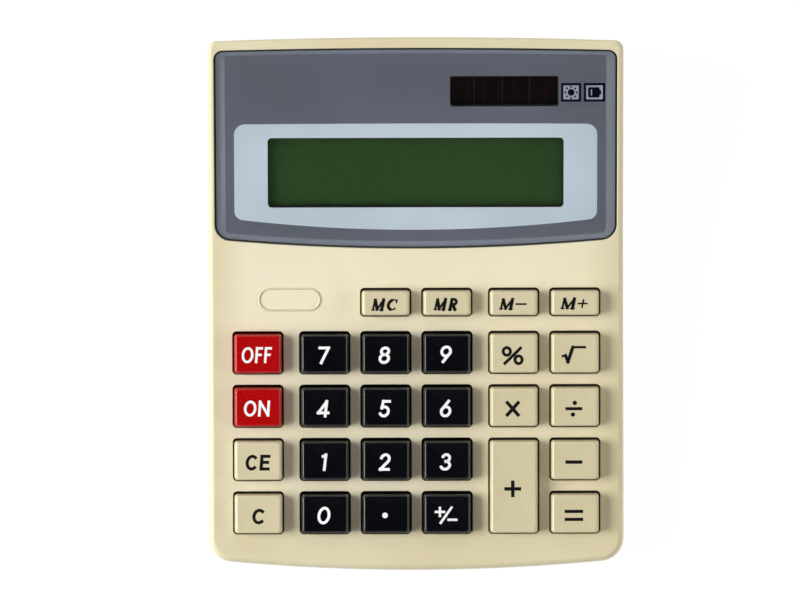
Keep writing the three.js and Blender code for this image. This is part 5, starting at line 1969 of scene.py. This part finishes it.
@dataclass
class Display:
    """Clear window with its print, the liquid crystal panel and the solar strip."""

    # Clear plate with its bevel
    proud: float = 0.3
    thick: float = 2.0
    lower_edge: float = 0.15
    bevel_x: float = 2.3
    bevel_y: float = 1.3
    bevel_drop: float = 0.6
    bevel_power: float = 1.15
    bevel_steps: int = 10
    # Dark bead round it: painted shade in the gap
    shade_bead_reach: float = 0.46
    shade_bead_low: float = -1.98
    shade_bead_top: float = -0.55
    shade_bead_gap: float = 0.02
    # Print on its underside
    print_inset: float = 0.2
    print_low: float = -1.92
    print_high: float = -1.66
    overlap: float = 0.01
    pale: Bowed = Bowed(45.0, 7.97, 34.85, 367, 6000, 2.3, 2.7)
    view: Opening = Opening(36.7, 8.8, 1.0, 0.0, 22.43)
    strip: Opening = Opening(13.45, 3.84, 0.6, 21.95, 42.92)
    # Dark linings of the openings, which are painted shade, and the glasses below them
    shade_lining_out: float = 0.28
    shade_lining_in: float = 0.27
    glass_top: float = -3.7
    panel_width: float = 78.0
    lower_depth: float = 23.4
    upper_depth: float = 20.6
    plate: float = 0.9
    bond: float = 0.1
    solar_half: Point = (15.0, 4.99)
    solar_thick: float = 1.1
    divider_size: Point = (0.18, 9.6)
    divider_sunk: float = 0.05
    clear: float = 0.02
    # Small signs
    sign_y: float = 52.15
    sign_half: float = 2.35
    sign_line: float = 0.6
    sign_frame: float = 0.015
    sun_radius: float = 0.85
    ray_size: Point = (0.42, 0.5)
    ray_out: float = 1.42
    cell_half: Point = (1.45, 1.3)
    cell_band: Point = (0.28, 1.5)
    cell_nub: Point = (0.22, 0.55)
    cell_shifts: tuple[float, ...] = (-0.15, -0.75, 1.42)
    # Film of a sign on the one below it
    film: float = 0.012
    film_sunk: float = 0.005
    # Lines between the solar cells
    divider_x: tuple[float, ...] = (14.56, 21.5, 28.25)

    def build(self) -> None:
        """Makes the window, its print, the dark linings of painted shade, the panel and the solar strip."""
        self.window()
        self.print_layers()
        self.panel()
        self.solar()

    def lay(self, solid: Solid, name: str, finish: Finish, nodes: Iterable[str] = ()) -> None:
        """Places a piece of the window.

        Args:
            solid: Its solid.
            name: Its name.
            finish: Its finish.
            nodes: Nodes that it stands for.
        """
        solid.place(name, finish, "root", "display_window", DISPLAY, nodes)

    def window(self) -> None:
        """Makes the clear plate with its wide rounded bevel, and a dark bead round it as painted shade in the
        gap.
        """
        bottom = self.proud - self.thick
        rings = [
            at_height(WINDOW.whole(self.lower_edge), bottom),
            at_height(WINDOW.whole(), bottom + self.lower_edge),
            at_height(WINDOW.whole(), self.proud - self.bevel_drop),
        ]
        for i in range(1, self.bevel_steps + 1):
            share = i / self.bevel_steps
            drop = self.bevel_drop * (1 - share) ** self.bevel_power
            outline = WINDOW.whole(self.bevel_x * share, self.bevel_y * share)
            rings.append(at_height(outline, self.proud - drop))
        self.lay(Solid.loft(rings, across=True), "window_plate", LENS, ["display_lens"])
        # painted shade: a dark bead fills the gap round the plate
        shade_bead = Solid.slab(WINDOW.whole(-self.shade_bead_reach), self.shade_bead_low, self.shade_bead_top)
        shade_bead.cut(Solid.slab(WINDOW.whole(-self.shade_bead_gap), self.shade_bead_low - PAST, 0))
        self.lay(shade_bead, "window_shade_bead", SHADE_BLACK)

    def print_layers(self) -> None:
        """Makes the lighter grey border under the bevel, which is a painted sheen, the grey surround, the
        pale field and the two small signs.
        """

        def layer(outline: Profile) -> Solid:
            """Layer of print with an outline."""
            return Solid.slab(outline, self.print_low, self.print_high)

        def hole(outline: Profile) -> Solid:
            """Cutter through the print with an outline."""
            return Solid.slab(outline, self.print_low - PAST, self.print_high + PAST)

        inner_x, inner_y = self.bevel_x - self.overlap, self.bevel_y - self.overlap
        # painted reflection: a lighter band under the bevel
        border = layer(WINDOW.whole(self.print_inset))
        border.cut(hole(WINDOW.whole(self.bevel_x, self.bevel_y)))
        self.lay(border, "print_bevel_sheen", BEVEL_SHEEN_INK)
        grey = layer(WINDOW.whole(inner_x, inner_y))
        grey.cut(hole(self.pale.whole()), hole(self.strip.outline()))
        self.lay(grey, "print_surround", GREY_INK)
        pale = layer(self.pale.whole(self.overlap)).cut(hole(self.view.outline()))
        self.lay(pale, "print_field", PALE_INK)
        self.sign("sun", 38.5, 2.5, self.sun)
        self.sign("cell", 44.3, 2.65, self.lying_cell)

    def sign(self, name: str, x: float, half_x: float, marks: Callable[[float, float, float], Solid]) -> None:
        """Makes one generic sign: a dark frame, a silver plate and dark marks.

        Args:
            name: Its name.
            x: Its middle across.
            half_x: Half its width.
            marks: Makes its marks from x, y and height.
        """
        y = DISPLAY.local_y(self.sign_y)
        low, high = self.print_high - self.overlap, self.print_high + self.sign_frame
        back = Solid.slab(rounded_rectangle(half_x, self.sign_half, 0.15, 3, x, y), low, high)
        self.lay(back, f"sign_{name}_frame", DARK_INK)
        inner = half_x - self.sign_line, self.sign_half - self.sign_line
        plate = Solid.slab(rounded_rectangle(*inner, 0.1, 3, x, y), high - self.film_sunk, high + self.film)
        self.lay(plate, f"sign_{name}_plate", SIGN_INK)
        self.lay(marks(x, y, high + self.film), f"sign_{name}_marks", DARK_INK)

    def sun(self, x: float, y: float, z: float) -> Solid:
        """Disc with eight rays.

        Args:
            x: Middle across.
            y: Middle along.
            z: Height of its lower face.

        Returns:
            The marks.
        """
        low, high = z - self.film_sunk, z + self.film
        parts = [Solid.slab(circle(self.sun_radius, x, y, 24), low, high)]
        for i in range(8):
            turn = Matrix.Translation((x, y, 0)) @ Matrix.Rotation(i * math.pi / 4, 4, "Z")
            parts.append(Solid.box(*self.ray_size, low, high, self.ray_out, 0).moved(turn))
        return Solid.group(parts)

    def lying_cell(self, x: float, y: float, z: float) -> Solid:
        """Small battery: a body with a light band, and its nub.

        Args:
            x: Middle across.
            y: Middle along.
            z: Height of its lower face.

        Returns:
            The marks.
        """
        low, high = z - self.film_sunk, z + self.film
        body_x, band_x, nub_x = (x + shift for shift in self.cell_shifts)
        body = Solid.slab(rounded_rectangle(*self.cell_half, 0.4, 4, body_x, y), low, high)
        body.cut(Solid.box(*self.cell_band, z - PAST, z + PAST, band_x, y))
        nub = Solid.slab(rounded_rectangle(*self.cell_nub, 0.05, 2, nub_x, y), low, high)
        return Solid.group([body, nub])

    def shade_lining(self, name: str, opening: Opening, low: float) -> None:
        """Makes a dark lining of one opening, down to the glass below it: painted shade inside the opening.

        Args:
            name: Name of the piece.
            opening: The opening.
            low: Height of its lower edge.
        """
        solid = Solid.slab(opening.outline(self.shade_lining_out), low, self.shade_bead_low)
        solid.cut(Solid.slab(opening.outline(-self.shade_lining_in), low - PAST, 0))
        # painted shade inside the opening
        self.lay(solid, name, SHADE_BLACK)

    def panel(self) -> None:
        """Makes the liquid crystal panel: two glass plates, the lower one with its contact ledge."""
        top, y = self.glass_top, TRAY_VIEW.y
        upper_y = y + (self.lower_depth - self.upper_depth) / 2
        middle = top - self.plate
        solid = Solid.box(self.panel_width, self.lower_depth, middle - self.plate, middle, 0, y)
        solid.join(Solid.box(self.panel_width, self.upper_depth, middle - self.bond, top, 0, upper_y))
        solid.place("panel_glass", LCD_GLASS, "root", "display_glass", DISPLAY, ["lcd_panel"])
        self.shade_lining("shade_lining_panel", self.view, top + self.clear)

    def solar(self) -> None:
        """Makes the solar strip with its three dividing lines."""
        top, y = self.glass_top, TRAY_STRIP.y
        outline = rounded_rectangle(*self.solar_half, 0.15, 2, TRAY_STRIP.x, y)
        solid = Solid.slab(outline, top - self.solar_thick, top)
        solid.place("strip_glass", SOLAR, "root", "solar_glass", DISPLAY, ["solar_cell"])
        low, high = top - self.divider_sunk, top + self.clear
        lines = [Solid.box(*self.divider_size, low, high, x, y) for x in self.divider_x]
        Solid.group(lines).place("strip_lines", SOLAR_LINE, "root", "solar_glass", DISPLAY)
        self.shade_lining("shade_lining_strip", self.strip, top + 2 * self.clear)


@dataclass
class Inside:
    """Pieces inside the case that keep their solid shape and get their real finish."""

    finishes: dict[str, Finish] = field(default_factory=lambda: {
        "main_board": BOARD,
        "chip_cap": RESIN,
        "lcd_frame": IVORY_CASE,
        "lcd_ribbon": RIBBON,
        "battery_plate": STEEL,
        "battery_wire_plus": RED_PVC,
        "battery_wire_minus": BLACK_PVC,
        "solar_wire_plus": RED_PVC,
        "solar_wire_minus": BLACK_PVC,
    })

    def build(self) -> None:
        """Dresses every node that stays."""
        for name, finish in self.finishes.items():
            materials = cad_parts[name].data.materials
            materials.clear()
            materials.append(finish.material())
            log.info("%s dressed in %s", name, finish.name)


# Studio


@dataclass(frozen=True)
class Lamp:
    """Soft rectangular lamp: its middle and two sides in millimetres and its power in watts."""

    name: str
    place: tuple[float, float, float]
    size: Point
    power: float
    aim: tuple[float, float, float] = (0.0, 0.0, 15.0)

    def build(self) -> None:
        """Makes the lamp and turns it to the object."""
        data = bpy.data.lights.new(self.name, "AREA")
        data.shape = "RECTANGLE"
        data.size, data.size_y = (side * MM for side in self.size)
        data.energy = self.power
        item = bpy.data.objects.new(self.name, data)
        item.location = Vector(self.place) * MM
        ahead = Vector(self.aim) * MM - item.location
        item.rotation_euler = ahead.to_track_quat("-Z", "Y").to_euler()
        bpy.context.scene.collection.objects.link(item)


@dataclass
class Studio:
    """Pale floor, soft lamps and a camera straight above, as far away as the photograph's."""

    floor_half: float = 3000.0
    floor_tone: str = "f2f2f2"
    floor_matt: float = 0.9
    floor_glow: float = 1.04
    floor_share: float = 0.92
    eye: tuple[float, float, float] = (-3.95, 1.07, 2022.0)
    lens: float = 362.6
    sensor: float = 36.0
    roll: float = -0.13
    clip: Point = (0.05, 50.0)
    sky: float = 0.2
    ceiling: float = 0.02
    cove: Point = (0.84, 0.9)
    lamps: tuple[Lamp, ...] = (
        Lamp("lamp_left", (-1900, -50, 1150), (1500, 1300), 72.0),
        Lamp("lamp_rear", (200, 1400, 1000), (1800, 500), 4.0),
        Lamp("lamp_right", (1550, -50, 620), (1800, 500), 13.0),
    )

    def build(self) -> None:
        """Makes the camera, the floor, the surroundings and the lamps."""
        self.camera()
        self.floor()
        self.world()
        for lamp in self.lamps:
            lamp.build()

    def camera(self) -> None:
        """Makes the camera."""
        data = bpy.data.cameras.new("camera")
        data.lens = self.lens
        data.sensor_width = self.sensor
        data.clip_start, data.clip_end = self.clip
        item = bpy.data.objects.new("camera", data)
        item.location = Vector(self.eye) * MM
        item.rotation_euler.z = math.radians(self.roll)
        bpy.context.scene.collection.objects.link(item)
        bpy.context.scene.camera = item

    def seen(self, tree: Tree) -> Socket:
        """Value that is 1 for rays that show the surroundings to the eye, straight or in a gloss.

        Args:
            tree: Node tree.

        Returns:
            The value output.
        """
        rays = add_node(tree, "ShaderNodeLightPath").outputs
        value = rays["Is Camera Ray"]
        for name in ("Is Glossy Ray", "Is Transmission Ray"):
            either = {0: value, 1: rays[name]}
            value = add_node(tree, "ShaderNodeMath", either, operation="MAXIMUM").outputs[0]
        return value

    def floor(self) -> None:
        """Makes the pale floor, which reads as white and still takes the object's shadow."""
        half = self.floor_half * MM
        data = bpy.data.meshes.new("floor")
        corners = [(-half, -half, 0), (half, -half, 0), (half, half, 0), (-half, half, 0)]
        data.from_pydata(corners, [], [(0, 1, 2, 3)])
        material = bpy.data.materials.new("paper_white_matt")
        material.use_nodes = True
        tree = material.node_tree
        shader = tree.nodes["Principled BSDF"]
        feed(tree, shader, {"Base Color": linear(self.floor_tone), "Roughness": self.floor_matt})
        glow = add_node(tree, "ShaderNodeEmission", {"Strength": self.floor_glow})
        share = {0: self.seen(tree), 1: self.floor_share}
        factor = add_node(tree, "ShaderNodeMath", share, operation="MULTIPLY")
        mixed = add_node(tree, "ShaderNodeMixShader", {
            0: factor.outputs[0], 1: shader.outputs[0], 2: glow.outputs[0],
        })
        feed(tree, tree.nodes["Material Output"], {"Surface": mixed.outputs[0]})
        data.materials.append(material)
        item = bpy.data.objects.new("floor", data)
        bpy.context.scene.collection.objects.link(item)

    def world(self) -> None:
        """Makes the surroundings: soft light, and for the eye a white cove under a dark ceiling."""
        world = bpy.data.worlds.new("surroundings")
        world.use_nodes = True
        tree = world.node_tree
        way = add_node(tree, "ShaderNodeTexCoord").outputs["Generated"]
        up = add_node(tree, "ShaderNodeSeparateXYZ", {0: way}).outputs["Z"]
        low, high = self.cove
        cove = add_node(tree, "ShaderNodeMapRange", {
            "Value": up, "From Min": low, "From Max": high, "To Min": 1.0, "To Max": self.ceiling,
        })
        strength = add_node(tree, "ShaderNodeMapRange", {
            "Value": self.seen(tree), "To Min": self.sky, "To Max": cove.outputs[0],
        })
        background = {"Color": (1.0, 1.0, 1.0, 1.0), "Strength": strength.outputs[0]}
        feed(tree, tree.nodes["Background"], background)
        bpy.context.scene.world = world


def main() -> None:
    """Builds the studio and the object, and logs each part as it is built."""
    logging.basicConfig(level=logging.INFO, format="%(name)s: %(message)s")
    bpy.context.scene.view_settings.view_transform = "Standard"
    for part in (Studio(), Shell(), Keypad(), KeyMat(), Display(), BatteryBay(), Inside()):
        log.info("building %s", type(part).__name__)
        part.build()


if __name__ == "__main__":
    main()
